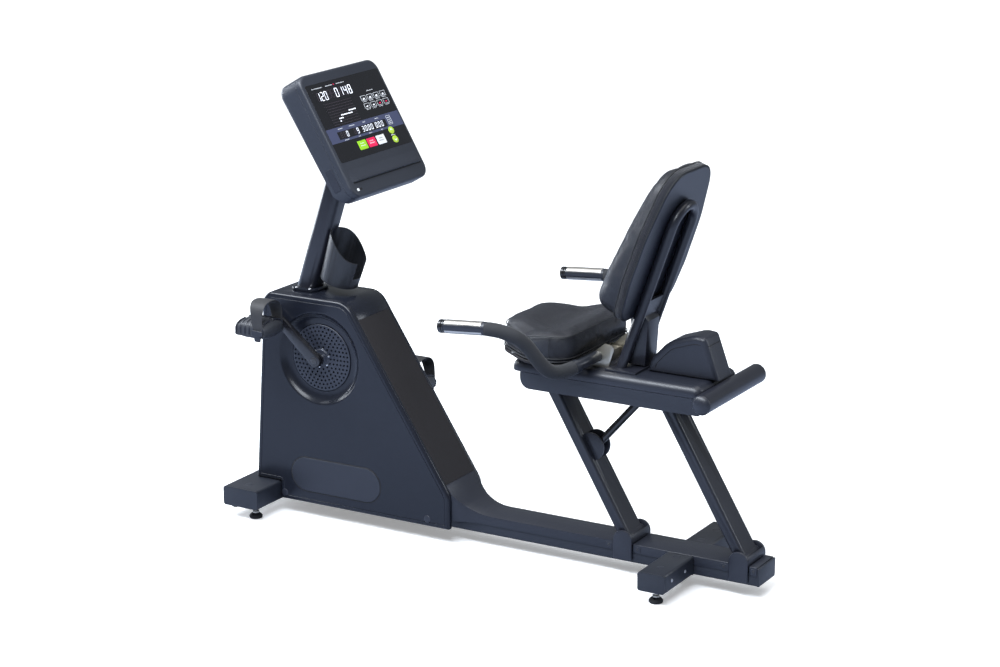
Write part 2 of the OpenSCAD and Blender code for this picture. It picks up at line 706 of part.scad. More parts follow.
module at_left_pedal() translate([crank_x - crank_length * cos(crank_angle), -pedal_y,
    crank_z + crank_length * sin(crank_angle)]) children();
module at_right_pedal() translate([crank_x + crank_length * cos(crank_angle), pedal_y,
    crank_z - crank_length * sin(crank_angle)]) children();

module pedal_left() color(charcoal) at_left_pedal() pedal_body();
module pedal_right() color(charcoal) at_right_pedal() pedal_body();
module pedal_strap_left() color(rubber_black) at_left_pedal() pedal_strap();
module pedal_strap_right() color(rubber_black) at_right_pedal() pedal_strap();

// ---------- mast ----------

// Upright tube with round corners, centred on its own axis
module mast_prism(depth, width, z0, z1, r = 20) translate([0, 0, z0]) linear_extrude(z1 - z0)
    polygon(rounded(box_corners(-depth / 2, depth / 2, -width / 2, width / 2, r)));

module at_mast() translate([mast_foot_x, 0, casing_top]) rotate([0, mast_lean, 0]) children();

module mast() color(charcoal) at_mast() difference() {
    mast_prism(mast_depth, mast_width, -mast_socket_depth + 1, mast_length);
    mast_prism(mast_depth - 5, mast_width - 5, -mast_socket_depth, mast_length + 1, 17.5);
}

module mast_collar() color(dark_slate) difference() {
    translate([mast_foot_x + 2, 0, casing_top + 0.2])
        mast_prism(mast_depth + 32, mast_width + 24, 0, 9, 30);
    at_mast() mast_prism(mast_depth + 0.6, mast_width + 0.6, -50, 50, 20.3);
}

module bottle_holder() color(charcoal) at_mast() difference() {
    r0 = bottle_radius + cup_wall;
    translate([cup_axis_x, 0, cup_foot]) cylinder(h = cup_height, r1 = r0, r2 = r0 + cup_flare);
    translate([cup_axis_x, 0, cup_foot + cup_wall])
        cylinder(h = cup_height, r1 = bottle_radius, r2 = bottle_radius + cup_flare);
    box(cup_axis_x, cup_axis_x + 100, -22, 22, cup_foot + 32, cup_foot + 300);
    plate_xz(concat([for (t = [0:0.1:1]) [cup_axis_x - 60 + 120 * t,
        cup_foot + cup_height - 30 * (1 - cos(180 * t))]],
        [[cup_axis_x + 200, cup_foot + 82], [cup_axis_x + 200, 400], [cup_axis_x - 60, 400]]), -100, 100);
    mast_prism(mast_depth + 0.4, mast_width + 0.4, 0, 400);
}

// ---------- console: local X runs down the face, Z out of it ----------

module at_console() translate([console_x, 0, console_z]) rotate([0, console_tilt, 0]) children();

console_corner = 26;
console_half = console_width / 2;
console_low = console_top + console_length;

module console_block(d, z0, z1) translate([0, 0, z0]) linear_extrude(z1 - z0)
    polygon(rounded(box_corners(console_top + d, console_low - d, -console_half + d, console_half - d,
        console_corner - d)));

// Wedge taken off the lower back edge
module console_back_cut(d) plate_xz([[console_low - 66 - d, -console_depth - 1 + d],
    [console_low + 1, -console_depth - 1 + d], [console_low + 1, -48 + d]], -300, 300);

module console_shell() color(charcoal) difference() {
    at_console() difference() {
        console_block(0, -console_depth, -bezel_depth);
        console_back_cut(0);
        difference() {
            console_block(console_wall, -console_depth + console_wall, -bezel_depth + 1);
            console_back_cut(console_wall);
        }
    }
    at_mast() mast_prism(mast_depth + 0.8, mast_width + 0.8, 0, mast_length + 20);
}

module console_bezel() color(charcoal) at_console() difference() {
    console_block(0, -bezel_depth + seam_gap, 0);
    console_block(console_wall, -bezel_depth, -console_wall - 3);
    translate([panel_top, -panel_width / 2, -panel_thickness]) cube([panel_length, panel_width, 10]);
    translate([panel_top + 8, -panel_width / 2 + 8, -30]) cube([panel_length - 16, panel_width - 16, 40]);
}

// Key centres on the display panel, as [down, across, length, width]
start_spot = [42, -50, 27, 41];
stop_spot = [42, -3, 27, 41];
enter_spot = [42, 45, 27, 41];
level_up_spot = [25, 111, 22, 26];
level_down_spot = [53, 111, 22, 26];

module key(spot, round_ends, grow = 0) at_console() {
    z = key_lift - panel_thickness - 1.5;
    if (round_ends) translate([spot[0], spot[1], z - grow * 5])
        linear_extrude(panel_thickness + 1.5 + grow * 10) polygon([for (a = [0:12:348])
            [(spot[2] / 2 + grow) * cos(a), (spot[3] / 2 + grow) * sin(a)]]);
    else translate([spot[0] - spot[2] / 2 - grow, spot[1] - spot[3] / 2 - grow, z - grow * 5])
        cube([spot[2] + 2 * grow, spot[3] + 2 * grow, panel_thickness + 1.5 + grow * 10]);
}

module display_panel() color(gloss_black) difference() {
    at_console() translate([panel_top + 0.4, -panel_width / 2 + 0.4, -panel_thickness + 0.1])
        cube([panel_length - 0.8, panel_width - 0.8, panel_thickness]);
    for (s = [start_spot, stop_spot, enter_spot]) key(s, false, side_gap);
    for (s = [level_up_spot, level_down_spot]) key(s, true, side_gap);
}

module console_board() color("darkgreen") at_console() {
    translate([panel_top + 10, -panel_width / 2 + 10, -14]) cube([panel_length - 20, panel_width - 20, 1.6]);
    for (x = [panel_top + 30, panel_top + 150]) translate([x, -60, -22]) cube([40, 120, 8]);
}

module start_key() color("limegreen") key(start_spot, false);
module stop_key() color("crimson") key(stop_spot, false);
module enter_key() color("white") key(enter_spot, false);
module level_up_key() color("greenyellow") key(level_up_spot, true);
module level_down_key() color("greenyellow") key(level_down_spot, true);

// ---------- swing linkage ----------

module at_leg(x) translate([x, 0, pivot_z]) rotate([0, -leg_lean, 0]) children();

// Box leg with a barrel at each end, drawn upright from its lower pivot
module leg_body() difference() {
    union() {
        mast_prism(leg_depth, leg_width, 0, leg_length, 7);
        rod_y(0, 0, barrel_radius, -leg_width / 2, leg_width / 2);
        rod_y(0, leg_length, barrel_radius, -leg_width / 2, leg_width / 2);
    }
    mast_prism(leg_depth - 6, leg_width - 6, barrel_radius + 6, leg_length - 110, 4);
    rod_y(0, 0, pin_radius + running_gap, -100, 100);
}

strut_pin_x = leg_depth / 2 + strut_pin_out;
strut_cheek_radius = 40;

module front_leg() color(charcoal) at_leg(front_pivot_x) {
    difference() {
        leg_body();
        rod_y(0, leg_length, pin_radius + running_gap, -100, 100);
    }
    both_sides() intersection() {
        rod_y(leg_depth / 2 + 1, strut_pin_along, strut_cheek_radius, strut_cheek_inner_y,
            strut_cheek_inner_y + strut_cheek_thickness);
        box(leg_depth / 2, 100, 0, 100, 0, leg_length);
    }
    rod_y(strut_pin_x, strut_pin_along, strut_pin_radius, -strut_cheek_inner_y - 1, strut_cheek_inner_y + 1);
}

module rear_leg() color(charcoal) at_leg(rear_pivot_x) difference() {
    leg_body();
    rod_y(0, leg_length, pin_radius + loose_gap, -100, 100);
    box(-60, 60, -fork_half_gap, fork_half_gap, leg_length - 80, leg_length + 60);
}

strut_foot = [front_pivot_x - strut_pin_along * sin(leg_lean) + strut_pin_x * cos(leg_lean),
    pivot_z + strut_pin_along * cos(leg_lean) + strut_pin_x * sin(leg_lean)];

module at_strut() translate([strut_foot.x, 0, strut_foot.y]) rotate([0, strut_angle, 0]) children();

module strut_cylinder() color(gloss_black) at_strut() difference() {
    union() {
        rod_y(0, 0, 12, -strut_cheek_inner_y + side_gap, strut_cheek_inner_y - side_gap);
        rod_z(0, 0, strut_radius, 0, strut_tube_length);
    }
    rod_z(0, 0, strut_radius - 3, 24, strut_tube_length - 12);
    rod_z(0, 0, rod_radius + running_gap, 24, strut_tube_length + 1);
    rod_y(0, 0, strut_pin_radius + running_gap, -40, 40);
}

module strut_rod() color(steel) at_strut() {
    rod_z(0, 0, strut_radius - 3 - running_gap, 40, 52);
    rod_z(0, 0, rod_radius, 51, strut_length);
    rod_y(0, strut_length, 10, -9, 9);
}

// ---------- seat carriage ----------

carriage_side_corners = [[carriage_front_x, carriage_bottom, 30], [carriage_rear_x, carriage_bottom, 8],
    [carriage_rear_x, carriage_seam_z - seam_gap, 0], [carriage_front_x, carriage_seam_z - seam_gap, 0]];

module leg_slot(x, grow) box(x - 30, x + grow, -leg_width / 2 - 4, leg_width / 2 + 4,
    carriage_bottom - 1, carriage_bottom + 12);

module carriage_frame() color(charcoal) difference() {
    union() {
        difference() {
            plate_xz(rounded(carriage_side_corners), -carriage_half_width, carriage_half_width);
            plate_xz(rounded(inset(carriage_side_corners, carriage_wall)),
                -carriage_half_width + carriage_wall, carriage_half_width - carriage_wall);
            box(carriage_front_x - 1, carriage_rear_x - carriage_wall, -carriage_half_width + carriage_wall,
                carriage_half_width - carriage_wall, carriage_seam_z - 8, carriage_seam_z + 1);
        }
        both_sides() for (x = [upper_pivot_x, upper_rear_pivot_x]) {
            box(x - lug_radius - 6, x + lug_radius + 6, lug_inner_y, lug_outer_y, carriage_bottom + 1,
                upper_pivot_z);
            rod_y(x, upper_pivot_z, lug_radius + 6, lug_inner_y, lug_outer_y);
            box(x - 6, x + 6, lug_outer_y - 1, carriage_half_width - 1, carriage_bottom + 1,
                carriage_seam_z - 8);
        }
        both_sides() rod_x(carriage_rear_x - 1, lift_x - 20, 90, lift_stud_z, 7);
    }
    leg_slot(upper_pivot_x, 48);
    leg_slot(upper_rear_pivot_x, 48);
    box(upper_rear_pivot_x - 128, upper_rear_pivot_x, -fork_half_gap - 6, fork_half_gap + 6,
        carriage_bottom - 1, carriage_bottom + 12);
    for (x = [upper_pivot_x, upper_rear_pivot_x])
        rod_y(x, upper_pivot_z, pin_radius + 0.02, -lug_outer_y - 1, lug_outer_y + 1);
}

module rod_x(x0, x1, y, z, r) translate([x0, y, z]) rotate([0, 90, 0]) cylinder(h = x1 - x0, r = r);

cover_section = [[-carriage_half_width, carriage_seam_z, 0], [carriage_half_width, carriage_seam_z, 0],
    [carriage_half_width, carriage_seam_z + 10, 6], [carriage_half_width - 20, carriage_top, 12],
    [-carriage_half_width + 20, carriage_top, 12], [-carriage_half_width, carriage_seam_z + 10, 6]];
cover_side = [[carriage_nose_x, carriage_seam_z, 10], [carriage_rear_x, carriage_seam_z, 0],
    [carriage_rear_x, carriage_top + 1, 0], [carriage_nose_x, carriage_top, 20]];

module carriage_cover() color(dark_slate) difference() {
    intersection() {
        bar_yz(rounded(cover_section), carriage_nose_x - 1, carriage_rear_x);
        plate_xz(rounded(cover_side), -200, 200);
    }
    intersection() {
        bar_yz(rounded(inset(cover_section, casing_wall)), carriage_nose_x, carriage_rear_x - casing_wall);
        plate_xz(rounded(inset(cover_side, casing_wall)), -200, 200);
    }
    box(carriage_front_x + carriage_wall, carriage_rear_x - carriage_wall, -carriage_half_width + casing_wall,
        carriage_half_width - casing_wall, carriage_seam_z - 1, carriage_seam_z + casing_wall + 1);
    box(shroud_front_x + 8, shroud_front_x + 92, -fork_half_gap - 4, fork_half_gap + 4,
        carriage_top - 10, carriage_top + 10);
}

shroud_corners = [[shroud_front_x, carriage_top, 0], [shroud_rear_x + 30, carriage_top, 0],
    [shroud_rear_x - 15, shroud_top - 4, 6], [shroud_rear_x - 42, shroud_top, 40],
    [shroud_front_x + 62, carriage_top + 92, 60], [shroud_front_x + 6, carriage_top + 30, 40]];

module strut_shroud() color(dark_slate) difference() {
    plate_xz(rounded(shroud_corners), -shroud_half_width, shroud_half_width);
    plate_xz(rounded(inset(shroud_corners, shroud_wall)), -shroud_half_width + shroud_wall,
        shroud_half_width - shroud_wall);
    box(shroud_front_x + 6, shroud_rear_x + 20, -shroud_half_width + shroud_wall,
        shroud_half_width - shroud_wall, carriage_top - 1, carriage_top + shroud_wall + 1);
}

module lift_handle() color(charcoal) difference() {
    rod_y(lift_x, lift_z, lift_radius, -lift_length / 2, lift_length / 2);
    for (s = [-1, 1]) rod_x(lift_x - 60, lift_x - 19, 90 * s, lift_stud_z, 7.3);
}

module upper_pivot_pins() color(steel) {
    rod_y(upper_pivot_x, upper_pivot_z, pin_radius, -lug_outer_y, lug_outer_y);
    both_sides() rod_y(upper_rear_pivot_x, upper_pivot_z, pin_radius, fork_half_gap + 1, lug_outer_y);
}

// ---------- seat ----------

seat_outline = rounded([[seat_rear_x, -seat_half_width, 60], [seat_rear_x, seat_half_width, 60],
    [seat_front_x + 130, seat_half_width, 90], [seat_front_x, 92, 60], [seat_front_x, -92, 60],
    [seat_front_x + 130, -seat_half_width, 90]]);

module seat_frame() color(zinc) {
    box(post_front_x, post_rear_x, -post_half_width, post_half_width, carriage_top, seat_bottom - 3);
    box(seat_front_x + 60, seat_rear_x - 3, -150, 150, seat_bottom - 6, seat_bottom - 0.5);
    both_sides() plate_xz(rounded([[post_rear_x - 66, carriage_top, 0], [back_foot_x - 34, carriage_top, 6],
        [back_foot_x - 14, carriage_top + 62, 12], [back_foot_x - 46, carriage_top + 66, 10],
        [seat_rear_x + 4, seat_bottom - 1, 4], [post_rear_x - 66, seat_bottom - 1, 0]]),
        bracket_half_width, bracket_half_width + bracket_thickness);
    rod_y(lever_x, lever_z, lever_pin_radius, -106, -post_half_width + 1);
}

module seat_cushion() color(leather_black)
    translate([0, 0, seat_bottom]) linear_extrude(seat_thickness) polygon(seat_outline);

lever_x = post_front_x + 8;
lever_z = carriage_top + 15;
lever_pin_radius = 4;

module release_lever() color(gloss_black) difference() {
    union() {
        rod_y(lever_x, lever_z, 8, -110, -post_half_width - side_gap);
        plate_xz(rounded([[lever_x - 92, lever_z - 13, 3], [lever_x - 2, lever_z - 7, 3],
            [lever_x + 4, lever_z + 4, 3], [lever_x - 92, lever_z - 5, 3]]), -110, -82);
    }
    rod_y(lever_x, lever_z, lever_pin_radius + running_gap, -140, 0);
}

// ---------- handlebars ----------

function side_route(s) = [for (p = smooth_route(bar_route)) [p.x, s * p.y, p.z]];

module handlebar_left() color(rubber_black) bent_tube(side_route(-1), grip_radius);
module handlebar_right() color(rubber_black) bent_tube(side_route(1), grip_radius);

// ---------- backrest: local Z runs up the recline, X out of its rear face ----------

module at_back() translate([back_foot_x, 0, carriage_top]) rotate([0, back_recline, 0]) children();

back_straight = back_length - back_frame_half_width - back_tube_radius;
cushion_low = 165;

module back_frame() color(charcoal) difference() {
    union() {
        at_back() {
            both_sides() rod_z(0, back_frame_half_width, back_tube_radius, -20, back_straight);
            translate([0, 0, back_straight]) rotate([90, 0, 90])
                rotate_extrude(angle = 180) translate([back_frame_half_width, 0]) circle(back_tube_radius);
            box(-4, 4, -back_frame_half_width, back_frame_half_width, 15, 206);
            plate_xz([[0, 12], [52, 30], [18, 150], [0, 160]], -34, 34);
        }
        box(back_foot_x - 30, back_foot_x + 62, -back_frame_half_width - 36, back_frame_half_width + 36,
            carriage_top, carriage_top + 6);
    }
    box(-400, 900, -300, 300, carriage_top - 100, carriage_top);
}

shell_rear = -back_tube_radius - 0.2;
shell_front = shell_rear - 22;
cushion_rear = shell_front - 0.4;
function back_corners(d) = inset([[-back_half_width + 22, cushion_low, 60],
    [back_half_width - 22, cushion_low, 60], [back_half_width, cushion_low + 120, 150],
    [back_half_width - 4, cushion_low + 260, 200], [back_half_width - 50, cushion_low + back_height, 90],
    [-back_half_width + 50, cushion_low + back_height, 90], [-back_half_width + 4, cushion_low + 260, 200],
    [-back_half_width, cushion_low + 120, 150]], d);

module back_shell() color(matte_brown_black)
    at_back() bar_yz(rounded(back_corners(4)), shell_front, shell_rear);

module back_cushion() color(leather_black)
    at_back() bar_yz(rounded(back_corners(0)), cushion_rear - back_thickness, cushion_rear);

base_rail();
tube_end_caps();
front_stabiliser();
rear_stabiliser();
front_deck_cover();
rear_deck_cover();
pivot_housings();
lower_pivot_pins();
levelling_foot_front_left();
levelling_foot_front_right();
levelling_foot_rear_left();
levelling_foot_rear_right();
transport_wheel_left();
transport_wheel_right();
drive_frame();
crank_bearings();
left_side_panel();
right_side_panel();
spine_cover();
rear_panel();
drive_belt();
crank_axle();
drive_pulley();
crank_arm_left();
crank_arm_right();
perforated_discs();
pedal_left();
pedal_right();
pedal_strap_left();
pedal_strap_right();
flywheel();
mast();
mast_collar();
bottle_holder();
console_shell();
console_bezel();
display_panel();
console_board();
start_key();
stop_key();
enter_key();
level_up_key();
level_down_key();
front_leg();
rear_leg();
strut_cylinder();
strut_rod();
carriage_frame();
carriage_cover();
strut_shroud();
lift_handle();
upper_pivot_pins();
seat_frame();
seat_cushion();
release_lever();
handlebar_left();
handlebar_right();
back_frame();
back_shell();
back_cushion();
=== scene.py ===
"""Finished look of a step-through recumbent exercise bike, built around its CAD frame.

Lengths are written in millimetres and turned to metres by MM. +X points to the rear, +Y to the rider's right, +Z up.
"""

import json
import math

import bmesh
import bpy
import numpy as np
from mathutils import Matrix, Vector
from mathutils.geometry import tessellate_polygon


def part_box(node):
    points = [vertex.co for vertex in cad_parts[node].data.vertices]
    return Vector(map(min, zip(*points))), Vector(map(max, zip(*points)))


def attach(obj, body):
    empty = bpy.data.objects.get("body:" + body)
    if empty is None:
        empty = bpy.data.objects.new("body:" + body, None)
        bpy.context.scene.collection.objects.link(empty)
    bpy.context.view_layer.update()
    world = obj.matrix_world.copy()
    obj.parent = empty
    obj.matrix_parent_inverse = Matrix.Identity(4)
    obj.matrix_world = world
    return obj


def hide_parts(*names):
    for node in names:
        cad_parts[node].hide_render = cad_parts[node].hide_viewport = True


MM = 0.001
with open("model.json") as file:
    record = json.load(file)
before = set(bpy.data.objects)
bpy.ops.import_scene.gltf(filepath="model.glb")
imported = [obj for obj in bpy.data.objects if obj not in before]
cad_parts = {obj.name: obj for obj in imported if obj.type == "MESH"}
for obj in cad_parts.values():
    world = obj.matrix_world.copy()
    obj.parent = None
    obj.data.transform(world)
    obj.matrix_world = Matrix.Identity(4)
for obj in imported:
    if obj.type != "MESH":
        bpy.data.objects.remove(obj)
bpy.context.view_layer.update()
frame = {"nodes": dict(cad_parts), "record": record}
record = frame["record"]
BODY_OF = {node: body for body, nodes in record["behaviour"]["bodies"].items() for node in nodes}
SLOT_OF = {part["node"]: part["material_slot"] for part in record["subparts"]}


# ---------- camera, light and floor ----------

def make_camera():
    data = bpy.data.cameras.new("studio_camera")
    data.sensor_width, data.lens = 36, 92
    data.clip_start, data.clip_end = 0.1, 60
    camera = bpy.data.objects.new("studio_camera", data)
    bpy.context.scene.collection.objects.link(camera)
    azimuth, elevation = math.radians(30), math.radians(15.25)
    back = Vector((math.sin(azimuth) * math.cos(elevation), -math.cos(azimuth) * math.cos(elevation),
                   math.sin(elevation)))
    camera.location = (3.4273, -5.950, 2.4902)
    camera.rotation_euler = (-back).to_track_quat("-Z", "Y").to_euler()
    bpy.context.scene.camera = camera


def soft_light(name, place, aim, size, power, tint=(1, 1, 1)):
    data = bpy.data.lights.new(name, "AREA")
    data.shape, data.size, data.size_y = "RECTANGLE", size[0], size[1]
    data.energy, data.color = power, tint
    light = bpy.data.objects.new(name, data)
    bpy.context.scene.collection.objects.link(light)
    light.location = place
    light.rotation_euler = (Vector(aim) - Vector(place)).to_track_quat("-Z", "Y").to_euler()


def floor_paper():
    """White to the camera; its bounce onto the machine is that of a grey studio floor."""
    paper = Finish("floor_paper", (0.93, 0.93, 0.93), 0.9, Emission_Color=(1, 1, 1, 1), Emission_Strength=0.3)
    tree = paper.tree
    grey, mix, path = (tree.nodes.new("ShaderNode" + kind) for kind in ("BsdfDiffuse", "MixShader", "LightPath"))
    grey.inputs["Color"].default_value = (0.34, 0.39, 0.51, 1)
    tree.links.new(path.outputs["Is Camera Ray"], mix.inputs[0])
    tree.links.new(grey.outputs[0], mix.inputs[1])
    tree.links.new(paper.shader.outputs[0], mix.inputs[2])
    tree.links.new(mix.outputs[0], tree.nodes["Material Output"].inputs["Surface"])
    return paper.material


def make_studio():
    """White room for the camera, with dim surroundings and a few soft boxes for the machine."""
    world = bpy.data.worlds.new("studio")
    bpy.context.scene.world = world
    world.use_nodes = True
    tree = world.node_tree
    room = tree.nodes["Background"]
    room.inputs["Color"].default_value = (0.86, 0.93, 1, 1)
    room.inputs["Strength"].default_value = 0.26
    white, mix, path = (tree.nodes.new("ShaderNode" + kind) for kind in ("Background", "MixShader", "LightPath"))
    white.inputs["Color"].default_value = (1, 1, 1, 1)
    tree.links.new(path.outputs["Is Camera Ray"], mix.inputs[0])
    tree.links.new(room.outputs[0], mix.inputs[1])
    tree.links.new(white.outputs[0], mix.inputs[2])
    tree.links.new(mix.outputs[0], tree.nodes["World Output"].inputs["Surface"])
    data = bpy.data.lights.new("ceiling_light", "SUN")
    data.energy, data.angle = 1.9, math.radians(70)
    ceiling = bpy.data.objects.new("ceiling_light", data)
    bpy.context.scene.collection.objects.link(ceiling)
    ceiling.location = (0, 0, 5)
    middle = (0, 0, 0.6)
    cool = (0.86, 0.92, 1)
    soft_light("strip_light", (-0.9, -2.2, 4.0), middle, (7, 1.3), 470, cool)
    soft_light("front_light", (-4.6, 0.6, 1.3), middle, (2.4, 1.8), 150, cool)
    soft_light("rear_light", (4.6, 2.8, 2.6), middle, (1.0, 2.2), 60, cool)
    mesh = bpy.data.meshes.new("studio_floor")
    mesh.from_pydata([(-30, -30, 0), (30, -30, 0), (30, 30, 0), (-30, 30, 0)], [], [(0, 1, 2, 3)])
    floor = bpy.data.objects.new("studio_floor", mesh)
    bpy.context.scene.collection.objects.link(floor)
    mesh.materials.append(floor_paper())
    bpy.context.scene.view_settings.view_transform = "Standard"


# ---------- finishes ----------

class Signal:
    """A socket of a node tree. Arithmetic on signals adds Math nodes."""

    def __init__(self, finish, socket):
        self.finish, self.socket = finish, socket

    def math(self, operation, *others):
        return self.finish.node("ShaderNodeMath", {"operation": operation}, self, *others)

    def __add__(self, other):
        return self.math("ADD", other)

    __radd__ = __add__

    def __mul__(self, other):
        return self.math("MULTIPLY", other)

    __rmul__ = __mul__

    def __sub__(self, other):
        return self.math("SUBTRACT", other)

    def __rsub__(self, other):
        return self.finish.node("ShaderNodeMath", {"operation": "SUBTRACT"}, other, self)

    def step(self, low, high):
        """0 below low, 1 above high, smooth between."""
        return self.finish.node("ShaderNodeMapRange", {"interpolation_type": "SMOOTHSTEP"}, self, low, high, 0.0, 1.0)


class Finish:
    """One procedural material on a Principled shader."""

    def __init__(self, name, colour, roughness, metallic=0.0, **constants):
        self.material = bpy.data.materials.new(name)
        self.material.use_nodes = True
        self.tree = self.material.node_tree
        self.shader = self.tree.nodes["Principled BSDF"]
        self.colour = colour
        self.set("Base Color", (*colour, 1))
        self.set("Roughness", roughness)
        self.set("Metallic", metallic)
        for socket, value in constants.items():
            self.set(socket.replace("_", " "), value)

    def set(self, socket, value):
        self.shader.inputs[socket].default_value = value

    def node(self, kind, settings, *values, out=0):
        """A node with its settings, then its sockets in order. None leaves a socket as it is."""
        made = self.tree.nodes.new(kind)
        for key, value in settings.items():
            setattr(made, key, value)
        sockets = [s for s in made.inputs if s.enabled and not s.is_unavailable]
        for socket, value in zip(sockets, values):
            if isinstance(value, Signal):
                self.tree.links.new(value.socket, socket)
            elif value is not None:
                socket.default_value = value
        return Signal(self, made.outputs[out])

    def place(self, turn=(0, 0, 0), stretch=(1, 1, 1)):
        """Object coordinates, turned and stretched."""
        where = self.node("ShaderNodeTexCoord", {}, out=3)
        return self.node("ShaderNodeMapping", {}, where, (0, 0, 0), turn, stretch)

    def noise(self, scale, detail=2.0, rough=0.5, at=None):
        return self.node("ShaderNodeTexNoise", {}, at or self.place(), scale, detail, rough)

    def cells(self, scale, feature="F1", at=None, out=0):
        return self.node("ShaderNodeTexVoronoi", {"feature": feature}, at or self.place(), scale, out=out)

    def tint(self, mask, colour, amount=1.0):
        """Blends the colour so far towards another where the mask is 1."""
        base = self.shader.inputs["Base Color"]
        before = Signal(self, base.links[0].from_socket) if base.is_linked else (*self.colour, 1)
        blend = self.tree.nodes.new("ShaderNodeMix")
        blend.data_type = "RGBA"
        factor = mask * amount if amount != 1.0 else mask
        self.tree.links.new(factor.socket, blend.inputs[0])
        if isinstance(before, Signal):
            self.tree.links.new(before.socket, blend.inputs[6])
        else:
            blend.inputs[6].default_value = before
        blend.inputs[7].default_value = (*colour, 1)
        self.tree.links.new(blend.outputs[2], base)
        return self

    def drive(self, socket, signal):
        self.tree.links.new(signal.socket, self.shader.inputs[socket])
        return self

    def bump(self, height, distance, strength=1.0):
        """Adds relief: height from 0 to 1 stands for distance in millimetres."""
        node = self.tree.nodes.new("ShaderNodeBump")
        node.inputs["Strength"].default_value = strength
        node.inputs["Distance"].default_value = distance * MM
        self.tree.links.new(height.socket, node.inputs["Height"])
        normal = self.shader.inputs["Normal"]
        if normal.is_linked:
            self.tree.links.new(normal.links[0].from_socket, node.inputs["Normal"])
        self.tree.links.new(node.outputs["Normal"], normal)
        return self


def lighter(colour, factor):
    return tuple(min(1.0, c * factor + 0.004 * (factor - 1)) for c in colour)


def powder_coat(name, colour, roughness=0.38):
    """Satin paint over steel: orange peel, a little dust and a few rubbed spots."""
    f = Finish(name, colour, roughness, Specular_IOR_Level=0.5)
    broad = f.noise(5, 3)
    rubbed = f.noise(38, 5, 0.7).step(0.66, 0.78)
    f.tint(broad.step(0.35, 0.7), lighter(colour, 1.25), 0.6)
    f.tint(rubbed, lighter(colour, 1.8), 0.35)
    f.drive("Roughness", roughness - 0.06 + broad * 0.12 + rubbed * 0.1)
    return f.bump(f.noise(420, 2), 0.05).bump(f.noise(2600, 1), 0.012)


def moulded(name, colour, roughness=0.45, texture=0.05, grain=1900, shine=0.5):
    """Injection-moulded plastic with a spark texture."""
    f = Finish(name, colour, roughness, Specular_IOR_Level=shine)
    broad = f.noise(4, 3)
    spark = f.cells(grain)
    scuffs = f.noise(60, 6, 0.75).step(0.68, 0.8)
    f.tint(broad.step(0.3, 0.75), lighter(colour, 1.18), 0.6)
    f.tint(scuffs, lighter(colour, 1.6), 0.3)
    f.drive("Roughness", roughness - 0.05 + broad * 0.1 + scuffs * 0.1)
    return f.bump(spark, texture).bump(f.noise(30, 2), 0.12)


def gloss(name, colour, roughness=0.16):
    f = Finish(name, colour, roughness, Specular_IOR_Level=0.55, Coat_Weight=0.25, Coat_Roughness=0.08)
    smudge = f.noise(16, 4, 0.6)
    f.tint(smudge.step(0.4, 0.8), lighter(colour, 1.3), 0.5)
    f.drive("Roughness", roughness - 0.03 + smudge * 0.1)
    return f.bump(f.noise(240, 2), 0.012)


def rubber(name, colour, roughness=0.72):
    f = Finish(name, colour, roughness, Specular_IOR_Level=0.35)
    dust = f.noise(70, 6, 0.7)
    f.tint(dust.step(0.45, 0.75), lighter(colour, 1.7), 0.35)
    f.drive("Roughness", roughness - 0.08 + dust * 0.16)
    return f.bump(f.noise(1300, 3), 0.05).bump(f.cells(700), 0.03)


def foam(name, colour):
    """Closed-cell foam sleeve: a matt skin full of pores, each darkened with painted shade."""
    f = Finish(name, colour, 0.8, Specular_IOR_Level=0.3, Sheen_Weight=0.08)
    pores = f.cells(1500, "F1").step(0.1, 0.5)
    broad = f.noise(22, 4)
    # painted shade: darker colour inside the pores
    f.tint(1 - pores, lighter(colour, 0.5), 0.5)
    f.tint(broad.step(0.4, 0.75), lighter(colour, 1.4), 0.4)
    f.drive("Roughness", 0.74 + broad * 0.12)
    return f.bump(pores, 0.12).bump(f.noise(300, 3), 0.08)


def leather(name, colour, roughness=0.4):
    """Grained upholstery: pebbles with painted shade in the valleys between them, creases and a soft sheen."""
    f = Finish(name, colour, roughness, Specular_IOR_Level=0.5, Coat_Weight=0.06, Coat_Roughness=0.35)
    drift = f.noise(60, 3)
    pebbles = f.cells(620, "DISTANCE_TO_EDGE").step(0.0, 0.16)
    creases = f.noise(95, 5, 0.65)
    # painted shade: the valleys between the pebbles are darkened
    f.tint(1 - pebbles, lighter(colour, 0.45), 0.6)
    f.tint(drift.step(0.4, 0.75), lighter(colour, 1.35), 0.5)
    f.drive("Roughness", roughness - 0.08 + creases * 0.16 + (1 - pebbles) * 0.12)
    return f.bump(pebbles, 0.16).bump(creases, 0.22).bump(f.noise(2400, 2), 0.03)


def knitted(name, colour):
    """Spacer mesh: small round openings in a knitted face, darkened with painted shade as if seen into."""
    f = Finish(name, colour, 0.85, Specular_IOR_Level=0.25, Sheen_Weight=0.25)
    holes = f.cells(560, "F1").step(0.18, 0.5)
    # painted shade: the openings are darkened for the shade inside the mesh
    f.tint(1 - holes, lighter(colour, 0.35), 0.85)
    f.tint(f.noise(35, 3).step(0.4, 0.75), lighter(colour, 1.4), 0.4)
    f.drive("Roughness", 0.78 + holes * 0.12)
    return f.bump(holes, 0.4).bump(f.noise(3000, 1), 0.05)


def plated(name, colour, roughness=0.2, metallic=1.0, brushed=(1, 1, 1)):
    """Plated or polished steel with a drawn grain along one way."""
    f = Finish(name, colour, roughness, metallic)
    grain = f.noise(260, 3, 0.6, at=f.place(stretch=brushed))
    stain = f.noise(24, 4, 0.6)
    f.tint(stain.step(0.4, 0.8), tuple(c * 0.78 for c in colour), 0.6)
    f.drive("Roughness", roughness - 0.05 + grain * 0.14 + stain * 0.08)
    return f.bump(grain, 0.015)


